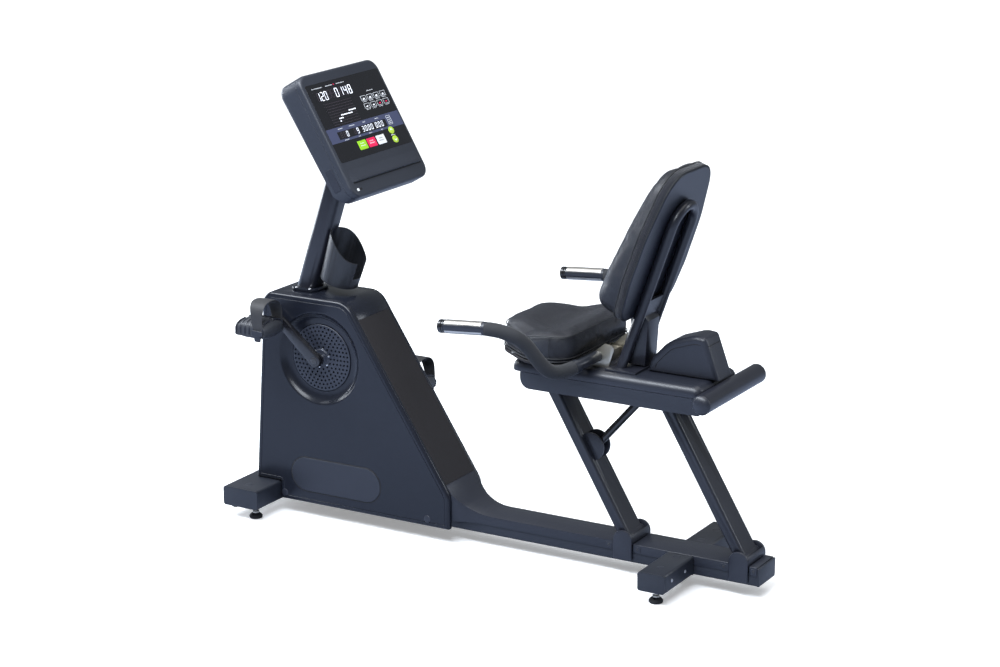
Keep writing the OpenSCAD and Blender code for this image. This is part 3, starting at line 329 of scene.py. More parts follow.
def printed(name, colour, roughness=0.4, glow=0.0):
    f = Finish(name, colour, roughness, Specular_IOR_Level=0.4)
    ink = f.noise(900, 2)
    f.tint(ink.step(0.35, 0.7), lighter(colour, 0.85), 0.5)
    f.drive("Roughness", roughness + ink * 0.12)
    # glow is emission: on the lit figures it is the display's own light; on printed ink, key caps and the port plug it
    # is painted light
    if glow:
        f.set("Emission Color", (*colour, 1))
        f.set("Emission Strength", glow)
    return f.bump(ink, 0.01)


FINISHES = {}


def finish(name):
    """The named finish, made once."""
    if name not in FINISHES:
        recipe, *values = RECIPES[name]
        FINISHES[name] = recipe(name, *values).material
    return FINISHES[name]


RECIPES = {
    "rail_paint": (powder_coat, (0.013, 0.015, 0.022), 0.36),
    "leg_paint": (powder_coat, (0.012, 0.013, 0.019), 0.3),
    "foot_paint": (powder_coat, (0.013, 0.015, 0.021), 0.38),
    "casing_plastic": (moulded, (0.009, 0.0105, 0.016), 0.22, 0.006, 1900, 0.34),
    "panel_plastic": (moulded, (0.012, 0.0105, 0.0115), 0.62, 0.07, 1200, 0.28),
    "deck_plastic": (moulded, (0.014, 0.016, 0.024), 0.38),
    "console_plastic": (moulded, (0.019, 0.022, 0.031), 0.44, 0.04),
    "cup_plastic": (moulded, (0.014, 0.015, 0.018), 0.4, 0.04),
    "seam_shadow": (moulded, (0.004, 0.004, 0.005), 0.7),
    "crank_paint": (gloss, (0.008, 0.008, 0.01), 0.22),
    "disc_plastic": (moulded, (0.017, 0.02, 0.03), 0.4, 0.02),
    "pedal_plastic": (moulded, (0.03, 0.032, 0.038), 0.55, 0.06),
    "strap_rubber": (rubber, (0.03, 0.03, 0.032), 0.6),
    "foot_rubber": (rubber, (0.016, 0.016, 0.017)),
    "foam_grip": (foam, (0.02, 0.021, 0.024)),
    "leather": (leather, (0.010, 0.011, 0.016), 0.36),
    "piping": (leather, (0.008, 0.009, 0.011), 0.55),
    "knitted_band": (knitted, (0.011, 0.012, 0.017)),
    "thread": (rubber, (0.03, 0.03, 0.034), 0.6),
    "bright_steel": (plated, (0.62, 0.62, 0.64), 0.24),
    "contact_plate": (plated, (0.52, 0.5, 0.47), 0.3, 1.0, (0.05, 1, 1)),
    "zinc_plate": (plated, (0.5, 0.47, 0.4), 0.34),
    "black_bolt": (gloss, (0.02, 0.02, 0.022), 0.3),
    "strut_black": (gloss, (0.006, 0.006, 0.007), 0.14),
    "belt_rubber": (rubber, (0.01, 0.01, 0.01)),
    "board_green": (printed, (0.02, 0.12, 0.04)),
    "display_gloss": (gloss, (0.005, 0.005, 0.007), 0.12),
    "display_band": (printed, (0.06, 0.068, 0.125), 0.25),
    # the glow on display_ink is painted light on printed ink; the glow on digit_light is the lit display figures
    "display_ink": (printed, (0.75, 0.77, 0.8), 0.4, 0.25),
    "dim_ink": (printed, (0.25, 0.25, 0.28), 0.4),
    "red_ink": (printed, (0.25, 0.03, 0.035), 0.4),
    "ghost_ink": (printed, (0.045, 0.035, 0.045), 0.35),
    "key_print_dark": (printed, (0.12, 0.12, 0.14), 0.4),
    "digit_light": (printed, (0.85, 0.88, 0.95), 0.3, 0.9),
    # the glow on the four key finishes is painted light: key caps, red marks and the port plug are no lamps
    "green_key": (printed, (0.30, 0.62, 0.02), 0.35, 0.1),
    "red_key": (printed, (0.78, 0.015, 0.09), 0.35, 0.1),
    "white_key": (printed, (0.8, 0.8, 0.8), 0.35, 0.05),
    "lime_key": (printed, (0.42, 0.62, 0.05), 0.35, 0.1),
}


# ---------- making meshes ----------

class Shape:
    """Vertices in millimetres and faces, gathered before they become a piece."""

    def __init__(self):
        self.points, self.faces = [], []

    def add(self, points, faces):
        start = len(self.points)
        self.points += [tuple(p) for p in points]
        self.faces += [tuple(start + i for i in face) for face in faces]
        return self

    def loft(self, loops, closed=True, caps=(True, True)):
        """Skin over loops that have the same number of points."""
        n = len(loops[0])
        faces = []
        for row in range(len(loops) - 1):
            for i in range(n if closed else n - 1):
                j = (i + 1) % n
                faces.append((row * n + i, row * n + j, (row + 1) * n + j, (row + 1) * n + i))
        if caps[0]:
            faces.append(tuple(reversed(range(n))))
        if caps[1]:
            faces.append(tuple((len(loops) - 1) * n + i for i in range(n)))
        return self.add([p for loop in loops for p in loop], faces)

    def moved(self, change):
        """The same shape with every point passed through a function or a matrix."""
        if isinstance(change, Matrix):
            matrix = change
            self.points = [tuple(matrix @ Vector(p)) for p in self.points]
        else:
            self.points = [tuple(change(*p)) for p in self.points]
        return self

    def join(self, other):
        return self.add(other.points, other.faces)


def revolve(profile, steps=48):
    """A turned shape about local Z from (radius, height) points; zero radii close the ends."""
    shape = Shape()
    loops = [[(max(r, 0.0001) * math.cos(a), max(r, 0.0001) * math.sin(a), h)
              for a in (math.tau * i / steps for i in range(steps))] for r, h in profile]
    return shape.loft(loops, caps=(True, True))


def corner_arc(before, at, after, radius, steps):
    """Points that round one corner of an outline."""
    b, a, c = Vector(at), Vector(before), Vector(after)
    u, v = (a - b).normalized(), (c - b).normalized()
    if radius <= 0.01 or steps < 1:
        return [tuple(b)] * (steps + 1)
    half = math.acos(max(-1, min(1, u.dot(v)))) / 2
    middle = b + (u + v).normalized() * radius / math.sin(half)
    start, end = b + u * radius / math.tan(half), b + v * radius / math.tan(half)
    a0 = math.atan2(start.y - middle.y, start.x - middle.x)
    turn = math.atan2(end.y - middle.y, end.x - middle.x) - a0
    turn = (turn + math.pi) % math.tau - math.pi
    return [(middle.x + radius * math.cos(a0 + turn * i / steps), middle.y + radius * math.sin(a0 + turn * i / steps))
            for i in range(steps + 1)]


def outline(corners, inset=0.0, steps=8):
    """Rounded outline from [x, y, radius] corners, anticlockwise, moved inwards by inset."""
    n, moved = len(corners), []
    for i, (x, y, r) in enumerate(corners):
        p, s = corners[i - 1], corners[(i + 1) % n]
        e, f = Vector((x - p[0], y - p[1])).normalized(), Vector((s[0] - x, s[1] - y)).normalized()
        m, k = Vector((-e.y, e.x)), Vector((-f.y, f.x))
        t = (m + k) * (inset / (1 + m.dot(k)))
        convex = e.x * f.y - e.y * f.x > 0
        moved.append((x + t.x, y + t.y, max(0.0, r - inset) if convex else (r + inset if r > 0 else 0.0)))
    points = []
    for i, (x, y, r) in enumerate(moved):
        points += corner_arc(moved[i - 1][:2], (x, y), moved[(i + 1) % n][:2], r, steps)
    return points


def rectangle(x0, x1, y0, y1, r):
    return [(x0, y0, r), (x1, y0, r), (x1, y1, r), (x0, y1, r)]


def slab(corners, low, high, edge=1.0, steps=8, turns=3, bottom_edge=None):
    """A plate over an outline in local X and Y, from low to high, with rounded edges."""
    bottom_edge = edge if bottom_edge is None else bottom_edge
    rings = []
    for k in range(turns + 1):
        a = math.pi / 2 * k / turns
        rings.append((bottom_edge * (1 - math.sin(a)), low + bottom_edge * (1 - math.cos(a))))
    for k in range(turns + 1):
        a = math.pi / 2 * k / turns
        rings.append((edge * (1 - math.cos(a)), high - edge * (1 - math.sin(a))))
    rings = [(bottom_edge + 0.3, low)] + rings + [(edge + 0.3, high)]
    loops = [[(x, y, z) for x, y in outline(corners, d, steps)] for d, z in rings]
    return Shape().loft(loops)


def tube(route, radius, sides=20, closed=False, cap=0.0):
    """A round bar along a route; radius may be a number or one value a point. cap rounds its ends."""
    points = [Vector(p) for p in route]
    n = len(points)
    radii = [radius] * n if isinstance(radius, (int, float)) else list(radius)
    tangents = [(points[(i + 1) % n] - points[i - 1] if closed else
                 points[min(i + 1, n - 1)] - points[max(i - 1, 0)]).normalized() for i in range(n)]
    side = tangents[0].orthogonal().normalized()
    loops = []
    for i, (p, t) in enumerate(zip(points, tangents)):
        side = (side - t * side.dot(t)).normalized()
        up = t.cross(side)
        ends = [(0.0, 1.0)]
        if cap and not closed and i in (0, n - 1):
            ends = [(cap * math.sin(a), math.cos(a)) for a in (math.pi / 2 * k / 4 for k in range(4, -1, -1))]
            sign = -1 if i == 0 else 1
            ends = [(sign * d, c) for d, c in (ends if i == 0 else reversed(ends))]
        for d, c in ends:
            r = max(radii[i] * c, 0.02) if cap else radii[i]
            loops.append([tuple(p + t * d + side * r * math.cos(a) + up * r * math.sin(a))
                          for a in (math.tau * k / sides for k in range(sides))])
    if closed:
        loops.append(loops[0])
    return Shape().loft(loops, caps=(not closed, not closed))


def smooth_path(points, passes=3):
    """Corner cutting that keeps the ends."""
    points = [Vector(p) for p in points]
    for _ in range(passes):
        cut = [points[0]]
        for a, b in zip(points, points[1:]):
            cut += [a.lerp(b, 0.25), a.lerp(b, 0.75)]
        points = cut + [points[-1]]
    return points


def to_xz(y_sign=1, y0=0.0):
    """Local (x, y, z) to row (x, z up, y out): a plate on a side face."""
    return lambda x, y, z: (x, y0 + y_sign * z, y)


def piece(name, shape, material, body, slot=None, stands_for=(), sharp=40.0):
    """Turns a shape in millimetres into a finished piece on its body."""
    mesh = bpy.data.meshes.new(name)
    mesh.from_pydata([tuple(c * MM for c in p) for p in shape.points], [], shape.faces)
    return finished_mesh(name, mesh, material, body, slot, stands_for, sharp)


def finished_mesh(name, mesh, material, body, slot=None, stands_for=(), sharp=40.0, clean=True):
    if clean:
        bm = bmesh.new()
        bm.from_mesh(mesh)
        bmesh.ops.remove_doubles(bm, verts=bm.verts, dist=2e-6)
        bmesh.ops.dissolve_degenerate(bm, edges=bm.edges, dist=1e-6)
        bmesh.ops.recalc_face_normals(bm, faces=bm.faces)
        bm.to_mesh(mesh)
        bm.free()
    mesh.shade_smooth()
    mesh.set_sharp_from_angle(angle=math.radians(sharp))
    mesh.materials.clear()
    mesh.materials.append(finish(material))
    obj = bpy.data.objects.new(name, mesh)
    bpy.context.scene.collection.objects.link(obj)
    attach(obj, body)
    if stands_for:
        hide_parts(*stands_for)
    return obj


def dressed(node, material, edge=1.0, turns=2, angle=30.0):
    """A CAD node's copy with its corners rounded, standing for the node."""
    mesh = frame["nodes"][node].data.copy()
    bm = bmesh.new()
    bm.from_mesh(mesh)
    bmesh.ops.remove_doubles(bm, verts=bm.verts, dist=5e-6)
    bmesh.ops.dissolve_limit(bm, angle_limit=math.radians(0.6), verts=bm.verts, edges=bm.edges)
    bm.to_mesh(mesh)
    bm.free()
    rough = bpy.data.objects.new(node + "_rough", mesh)
    bpy.context.scene.collection.objects.link(rough)
    bevel = rough.modifiers.new("edges", "BEVEL")
    bevel.width, bevel.segments = edge * MM, turns
    bevel.limit_method, bevel.angle_limit = "ANGLE", math.radians(angle)
    bevel.miter_outer = "MITER_ARC"
    graph = bpy.context.evaluated_depsgraph_get()
    done = bpy.data.meshes.new_from_object(rough.evaluated_get(graph))
    bpy.data.objects.remove(rough)
    return finished_mesh(node + "_finished", done, material, BODY_OF[node], SLOT_OF[node], (node,), 30.0, False)


def coated(node, material):
    """A CAD node that stays as it is, with its own finish."""
    obj = frame["nodes"][node]
    obj.data.materials.clear()
    obj.data.materials.append(finish(material))


# ---------- places taken from the frame ----------

def corner(node, axis, end):
    """One side of a CAD node's box, in millimetres."""
    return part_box(node)[end]["xyz".index(axis)] / MM


HUB = ((corner("drive_pulley", "x", 0) + corner("drive_pulley", "x", 1)) / 2,
       (corner("drive_pulley", "z", 0) + corner("drive_pulley", "z", 1)) / 2)
CARRIAGE_TOP = corner("back_frame", "z", 0)
BACK_FOOT = corner("back_frame", "x", 0) + 30
BACK_RECLINE = math.radians(19.6)
CASING_HALF = -corner("left_side_panel", "y", 0)
CASING_TOP = corner("left_side_panel", "z", 1)


def back_point(x, y, v):
    """Local backrest (out of the rear face, across, up the recline) to the row frame."""
    c, s = math.cos(BACK_RECLINE), math.sin(BACK_RECLINE)
    return (BACK_FOOT + x * c + v * s, y, CARRIAGE_TOP - x * s + v * c)


# ---------- upholstery ----------

def swell(name, shape, allowance, pressure=4.0, voxel=5.0, frames=20):
    """Cloth simulation of a stuffed cover: allowance(point) caps how far each point may move, in mm."""
    mesh = bpy.data.meshes.new(name)
    mesh.from_pydata([tuple(c * MM for c in p) for p in shape.points], [], shape.faces)
    bm = bmesh.new()
    bm.from_mesh(mesh)
    bmesh.ops.remove_doubles(bm, verts=bm.verts, dist=2e-6)
    bmesh.ops.recalc_face_normals(bm, faces=bm.faces)
    bm.to_mesh(mesh)
    bm.free()
    pad = bpy.data.objects.new(name, mesh)
    bpy.context.scene.collection.objects.link(pad)
    remesh = pad.modifiers.new("voxels", "REMESH")
    remesh.mode, remesh.voxel_size = "VOXEL", voxel * MM
    graph = bpy.context.evaluated_depsgraph_get()
    pad.data = bpy.data.meshes.new_from_object(pad.evaluated_get(graph))
    pad.modifiers.clear()
    rest = np.array([v.co for v in pad.data.vertices])
    moved = rest
    cloth = pad.modifiers.new("cover", "CLOTH")
    cloth.settings.use_pressure = True
    cloth.settings.uniform_pressure_force = pressure
    cloth.settings.tension_stiffness = cloth.settings.compression_stiffness = 18
    cloth.settings.bending_stiffness = 2
    cloth.settings.effector_weights.gravity = 0
    cloth.point_cache.frame_end = frames
    for step in range(1, frames + 1):
        bpy.context.scene.frame_set(step)
    graph = bpy.context.evaluated_depsgraph_get()
    moved = np.array([v.co for v in pad.evaluated_get(graph).data.vertices])
    pad.modifiers.clear()
    bpy.context.scene.frame_set(1)
    travel = moved - rest
    length = np.linalg.norm(travel, axis=1) + 1e-9
    cap = np.array([allowance(*(p / MM)) for p in rest]) * MM
    share = np.where(length > 0, cap * np.tanh(length / np.maximum(cap, 1e-6)) / length, 0)
    pad.data.vertices.foreach_set("co", (rest + travel * share[:, None]).astype(np.float32).ravel())
    bm = bmesh.new()
    bm.from_mesh(pad.data)
    for _ in range(4):
        bmesh.ops.smooth_vert(bm, verts=bm.verts, factor=0.5, use_axis_x=True, use_axis_y=True, use_axis_z=True)
    bmesh.ops.subdivide_edges(bm, edges=bm.edges, cuts=1, use_grid_fill=True, smooth=0.0)
    for _ in range(2):
        bmesh.ops.smooth_vert(bm, verts=bm.verts, factor=0.5, use_axis_x=True, use_axis_y=True, use_axis_z=True)
    bm.to_mesh(pad.data)
    bm.free()
    mesh = pad.data
    bpy.data.objects.remove(pad)
    return mesh


SEAT_FRONT, SEAT_REAR = corner("seat_cushion", "x", 0), corner("seat_cushion", "x", 1)
SEAT_HALF, SEAT_BOTTOM = corner("seat_cushion", "y", 1), corner("seat_cushion", "z", 0) - 9
SEAT_CORNERS = [(SEAT_REAR, -SEAT_HALF, 62), (SEAT_REAR, SEAT_HALF, 62), (SEAT_FRONT + 132, SEAT_HALF, 120),
                (SEAT_FRONT, 104, 84), (SEAT_FRONT, -104, 84), (SEAT_FRONT + 132, -SEAT_HALF, 120)]
# Height of the seat's top above its underside: on the middle line and at the sides, from front to rear
SEAT_STATIONS = (0, 30, 70, 110, 150, 200, 256)
SEAT_MIDDLE = (82, 96, 95, 78, 66, 74, 92)
SEAT_SIDES = (50, 54, 60, 70, 82, 88, 84)


def seat_height(x, y):
    """Saddle: a hump at the front middle, a dished middle and raised rear flanks."""
    middle = np.interp(x - SEAT_FRONT, SEAT_STATIONS, SEAT_MIDDLE)
    side = np.interp(x - SEAT_FRONT, SEAT_STATIONS, SEAT_SIDES)
    out = min(1.0, abs(y) / SEAT_HALF)
    return middle + (side - middle) * out ** 2.0


def make_seat_cushion():
    loops = []
    for inset, share, drop in ((40, 0, 0), (16, 0, 0), (6, 0, -3), (1, 0.07, 0), (0, 0.2, 0), (-1, 0.45, 0),
                               (0, 0.7, 0), (2, 0.86, 0), (6, 0.95, 0), (12, 0.985, 0), (22, 1, 0), (36, 1, 0), (54, 1, 0),
                               (74, 1, 0), (94, 1, 0), (110, 1, 0)):
        loop = []
        for x, y in outline(SEAT_CORNERS, inset + 3, 10):
            height = seat_height(x, y) - 3
            loop.append((x, y, SEAT_BOTTOM + 2 + height * share - drop))
        loops.append(loop)
    shape = Shape().loft(loops)
    mesh = swell("seat_cover", shape, lambda x, y, z: 6.0 if z > SEAT_BOTTOM + 24 else 1.5, voxel=4.5)
    cover = finished_mesh("seat_cover", mesh, "leather", "carriage", "leather", ("seat_cushion",), 180, False)
    for name, inset, rise, radius in (("low", 0.6, 11, 2.0), ("mid", 0.8, 19, 1.6)):
        welt = [(x, y, SEAT_BOTTOM + rise) for x, y in outline(SEAT_CORNERS, inset, 10)]
        piece(f"seat_{name}_welt", tube(welt, radius, 10, closed=True), "piping", "carriage", "leather")
    rim = []
    for x, y in outline(SEAT_CORNERS, 4.6, 10):
        rim.append((x, y, SEAT_BOTTOM + seat_height(x, y) * 0.91))
    piece("seat_rim_welt", tube(rim, 1.6, 10, closed=True), "piping", "carriage", "leather")
    pan = slab([(x, y, r) for x, y, r in SEAT_CORNERS], 0, 9, 2.5, 10).moved(
        lambda x, y, z: (x, y, SEAT_BOTTOM - 4 + z))
    piece("seat_pan", pan, "panel_plastic", "carriage", "panel_plastic")
    seams = Shape()
    for side in (-1, 1):
        for x in (SEAT_FRONT + 128, SEAT_REAR - 54):
            y = side * (SEAT_HALF - 1.6)
            top = SEAT_BOTTOM + seat_height(x, y) * 0.9
            seams.join(tube([(x, y, SEAT_BOTTOM + 19), (x, y + side * 0.8, SEAT_BOTTOM + 40),
                             (x, y - side * 3.2, top)], 0.8, 8))
    for y in (-92, 92):
        seams.join(tube([(SEAT_REAR - 1.6, y, SEAT_BOTTOM + 19), (SEAT_REAR - 0.6, y, SEAT_BOTTOM + 44),
                         (SEAT_REAR - 4, y, SEAT_BOTTOM + 72)], 0.8, 8))
    piece("seat_seams", seams, "piping", "carriage", "leather")


CUSHION_LOW, CUSHION_HIGH = 152, 584
BACK_HALF = 168


def back_corners(d=0.0):
    mid = [(-BACK_HALF + 22, CUSHION_LOW, 60), (BACK_HALF - 22, CUSHION_LOW, 60), (BACK_HALF, CUSHION_LOW + 120, 150),
           (BACK_HALF - 4, CUSHION_LOW + 260, 200), (BACK_HALF - 50, CUSHION_HIGH, 90),
           (-BACK_HALF + 50, CUSHION_HIGH, 90), (-BACK_HALF + 4, CUSHION_LOW + 260, 200),
           (-BACK_HALF, CUSHION_LOW + 120, 150)]
    return mid if d == 0 else [(x - math.copysign(d, x), v + (d if v < 300 else -d if v > 560 else 0), r)
                               for x, v, r in mid]


def back_thickness(y, v):
    """How far the cushion's face stands in front of its rear edge: deep at the foot, slim at the top and sides."""
    share = (CUSHION_HIGH - v) / (CUSHION_HIGH - CUSHION_LOW)
    foot = 18 * max(0.0, (CUSHION_LOW + 80 - v) / 80) ** 2
    return 44 + 56 * max(0.0, share) ** 0.85 - foot - 15 * (abs(y) / BACK_HALF) ** 2.4


def make_back_cushion():
    loops = []
    rear = -19.0
    for inset, share in ((26, 0), (6, 0), (1.5, 0.03), (0.5, 0.12), (0, 0.3), (0, 0.5), (2.5, 0.74), (8, 0.9),
                         (17, 0.98), (30, 1), (48, 1), (70, 1), (96, 1), (122, 1)):
        loops.append([back_point(rear - back_thickness(y, v) * share, y, v)
                      for y, v in outline(back_corners(), inset + 2, 9)])
    shape = Shape().loft(loops)
    foot = Vector(back_point(0, 0, 0))
    normal = Vector((math.cos(BACK_RECLINE), 0, -math.sin(BACK_RECLINE)))

    def allowance(x, y, z):
        depth = (Vector((x, y, z)) - foot).dot(normal)
        return 0.6 if depth > -42 else 7.0
    mesh = swell("back_cover", shape, allowance)
    cover = finished_mesh("back_cover", mesh, "leather", "carriage", "leather", ("back_cushion",), 180, False)
    band = Shape()
    band.loft([[back_point(x, y, v) for y, v in outline(back_corners(), inset, 9)]
               for inset, x in ((4.0, -18), (0.6, -18.2), (-0.6, -20), (-1.0, -28), (-0.6, -36), (0.6, -37.6), (4, -38))],
              caps=(False, False))
    piece("back_side_band", band, "knitted_band", "carriage", "leather", sharp=60)
    for name, depth in (("back_front_welt", -39.4), ("back_rear_welt", -18)):
        welt = [back_point(depth, y, v) for y, v in outline(back_corners(), -0.4, 9)]
        piece(name, tube(welt, 1.7, 8, closed=True), "piping", "carriage", "leather")


def make_back_shell():
    shell = slab(back_corners(1.2), 14.2, 22, 3, 9, 4, bottom_edge=3).moved(
        lambda y, v, depth: back_point(-depth, y, v))
    piece("back_shell_finished", shell, "deck_plastic", "carriage", "panel_plastic", ("back_shell",), 35)
    screw = revolve([(0, 1.2), (2.2, 1.2), (3.4, 0.8), (4.4, 0), (4.4, -1.5)], 20)
    screw = screw.moved(lambda a, b, c: back_point(-14.0 + c, a, CUSHION_LOW + 205 + b))
    piece("back_shell_screw", screw, "bright_steel", "carriage", "bright_steel")
    stitches = repeated_stitches()
    return stitches


def node_input(tree, name, kind, value):
    socket = tree.interface.new_socket(name, in_out="INPUT", socket_type=kind)
    socket.default_value = value
    return socket.identifier


def link(tree, a, b, out=0, into=0):
    tree.links.new(a.outputs[out], b.inputs[into])


def repeated_stitches():
    """Rows of stitches that follow the backrest's seams: one thread bead an even step along each seam curve."""
    tree = bpy.data.node_groups.new("stitch_rows", "GeometryNodeTree")
    tree.interface.new_socket("Geometry", in_out="INPUT", socket_type="NodeSocketGeometry")
    tree.interface.new_socket("Geometry", in_out="OUTPUT", socket_type="NodeSocketGeometry")
    step = node_input(tree, "stitch_step", "NodeSocketFloat", 5 * MM)
    length = node_input(tree, "stitch_length", "NodeSocketFloat", 3.2 * MM)
    make = tree.nodes.new
    inlet, outlet = make("NodeGroupInput"), make("NodeGroupOutput")
    curve, sample = make("GeometryNodeMeshToCurve"), make("GeometryNodeResampleCurve")
    sample.mode = "LENGTH"
    place, ball = make("GeometryNodeInstanceOnPoints"), make("GeometryNodeMeshUVSphere")
    ball.inputs["Segments"].default_value, ball.inputs["Rings"].default_value = 6, 4
    ball.inputs["Radius"].default_value = 0.5
    tangent, turn = make("GeometryNodeInputTangent"), make("FunctionNodeAlignRotationToVector")
    turn.axis = "X"
    shape = make("ShaderNodeCombineXYZ")
    shape.inputs[1].default_value = shape.inputs[2].default_value = 0.9 * MM
    real, paint = make("GeometryNodeRealizeInstances"), make("GeometryNodeSetMaterial")
    paint.inputs["Material"].default_value = finish("thread")
    link(tree, inlet, curve)
    link(tree, curve, sample)
    tree.links.new(inlet.outputs["stitch_step"], sample.inputs["Length"])
    link(tree, sample, place)
    tree.links.new(ball.outputs["Mesh"], place.inputs["Instance"])
    tree.links.new(tangent.outputs[0], turn.inputs["Vector"])
    tree.links.new(turn.outputs[0], place.inputs["Rotation"])
    tree.links.new(inlet.outputs["stitch_length"], shape.inputs[0])
    tree.links.new(shape.outputs[0], place.inputs["Scale"])
    link(tree, place, real)
    link(tree, real, paint)
    link(tree, paint, outlet)
    lines, edges = [], []
    for depth, inset in ((-22.5, -1.2), (-28, -1.4), (-33.5, -1.2), (-43, 0.2)):
        loop = [back_point(depth, y, v) for y, v in outline(back_corners(), inset, 9)]
        edges += [(len(lines) + i, len(lines) + (i + 1) % len(loop)) for i in range(len(loop))]
        lines += loop
    mesh = bpy.data.meshes.new("back_stitches")
    mesh.from_pydata([tuple(c * MM for c in p) for p in lines], edges, [])
    seam = bpy.data.objects.new("back_stitch_lines", mesh)
    bpy.context.scene.collection.objects.link(seam)
    rows = seam.modifiers.new("rows", "NODES")
    rows.node_group = tree
    rows[step], rows[length] = 5 * MM, 3.4 * MM
    graph = bpy.context.evaluated_depsgraph_get()
    made = bpy.data.meshes.new_from_object(seam.evaluated_get(graph))
    bpy.data.objects.remove(seam)
    return finished_mesh("back_stitches", made, "thread", "carriage", "leather", (), 60, False)


# ---------- handlebars ----------

def rail_route():
    """The handlebar's line on the rider's left, from its bracket to the front of the grip."""
    x, z = corner("seat_frame", "x", 0) + 220, CARRIAGE_TOP + 29
    start, grip_y = 68.3, 340
    pivot = x - 178
    route = [(x, -start, z), (x, -150, z), (x - 21, -205, z - 12), (x - 39, -255, z - 8), (x - 59, -283, z + 24),
             (x - 85, -306, z + 76), (x - 113, -grip_y + 10, z + 105), (pivot + 1, -grip_y, z + 117),
             (pivot - 153, -grip_y, z + 103)]
    return smooth_path(route, 3)


def stretch_of(route, a, b):
    """The part of a route between two distances from its far end, evenly stepped."""
    points = list(reversed([Vector(p) for p in route]))
    far = [0.0]
    for p, q in zip(points, points[1:]):
        far.append(far[-1] + (q - p).length)
    steps = max(3, int(abs(b - a) / 9))
    wanted = np.linspace(a, b, steps + 1)
    axes = [np.interp(wanted, far, [p[k] for p in points]) for k in range(3)]
    return [tuple(c) for c in zip(*axes)], far[-1]


GRIP_LENGTH = 138
FOAM_REACH = 452


def make_handlebar(side, name):
    """Contact grip with its end cap, foam sleeve and the steel tube that enters the bracket."""
    route = [(x, abs(y) * side, z) for x, y, z in rail_route()]
    whole = stretch_of(route, 0, 1)[1]
    foam_line = stretch_of(route, GRIP_LENGTH + 3, FOAM_REACH)[0]
    radii = [19.3] * len(foam_line)
    radii[0] = radii[-1] = 18.2
    piece(f"foam_sleeve_{name}", tube(foam_line, radii, 28, cap=2), "foam_grip", "carriage", "foam_grip",
          (f"handlebar_{name}",), 60)
    collar = stretch_of(route, FOAM_REACH - 1, FOAM_REACH + 11)[0]
    steel = tube(stretch_of(route, FOAM_REACH, whole)[0], 15, 24)
    steel.join(tube(collar, 19, 28, cap=1.2))
    piece(f"bar_tube_{name}", steel, "foot_paint", "carriage", "foot_paint")
    body = tube(stretch_of(route, 14, GRIP_LENGTH + 2)[0], 17.6, 32)
    body.join(tube(stretch_of(route, GRIP_LENGTH - 1, GRIP_LENGTH + 4)[0], 18.9, 32, cap=0.8))
    piece(f"grip_body_{name}", body, "deck_plastic", "carriage", "deck_plastic")
    tip = tube(stretch_of(route, 1.5, 10)[0], 18.6, 32, cap=3.5)
    tip.join(tube(stretch_of(route, 9, 14.5)[0], 16.4, 32))
    tip.join(tube(stretch_of(route, 13.5, 17.5)[0], 18.4, 32, cap=0.8))
    piece(f"grip_cap_{name}", tip, "crank_paint", "carriage", "foam_grip")
    line = [Vector(p) for p in stretch_of(route, 20, GRIP_LENGTH - 4)[0]]
    along = (line[-1] - line[0]).normalized()
    across = along.cross(Vector((0, 0, 1))).normalized()
    up = across.cross(along).normalized()
    plates = Shape()
    for middle in (math.pi / 2, -math.pi / 2):
        rows = []
        for k in range(15):
            a = middle + math.radians(64) * (k / 7 - 1)
            edge = 1 - abs(k / 7 - 1) ** 12
            rows.append([(a, 17.4, 0), (a, 17.9 + edge, 0.6), (a, 18.1 + edge, 3)] +
                        [(a, 18.1 + edge, t) for t in np.linspace(8, 92, 8)] +
                        [(a, 18.1 + edge, 97), (a, 17.9 + edge, 99.4), (a, 17.4, 100)])
        loops = [[tuple(line[0] + (line[-1] - line[0]) * (t / 100) + (across * math.cos(a) + up * math.sin(a)) * r)
                  for a, r, t in row] for row in rows]
        plates.loft(loops, closed=False, caps=(False, False))
    piece(f"contact_plates_{name}", plates, "contact_plate", "carriage", "chrome", (), 50)


# ---------- drive casing ----------

CASING_FRONT = corner("left_side_panel", "x", 0)
CASING_REAR = corner("left_side_panel", "x", 1)
CASING_FOOT = corner("left_side_panel", "z", 0)
BOWL_RADIUS = 137
DISC_RADIUS = (corner("perforated_discs", "x", 1) - corner("perforated_discs", "x", 0)) / 2


def casing_corners():
    """Side outline of the casing in X and Z, notched over the front foot."""
    notch_x = corner("front_stabiliser", "x", 1) + 2
    notch_z = corner("front_stabiliser", "z", 1) + 0.4
    return [(notch_x, CASING_FOOT, 1), (CASING_REAR, CASING_FOOT, 6), (CASING_REAR, CASING_FOOT + 100, 70),
            (CASING_REAR - 338, CASING_TOP, 62), (CASING_FRONT + 37, CASING_TOP, 34), (CASING_FRONT, notch_z, 1),
            (notch_x, notch_z, 1)]


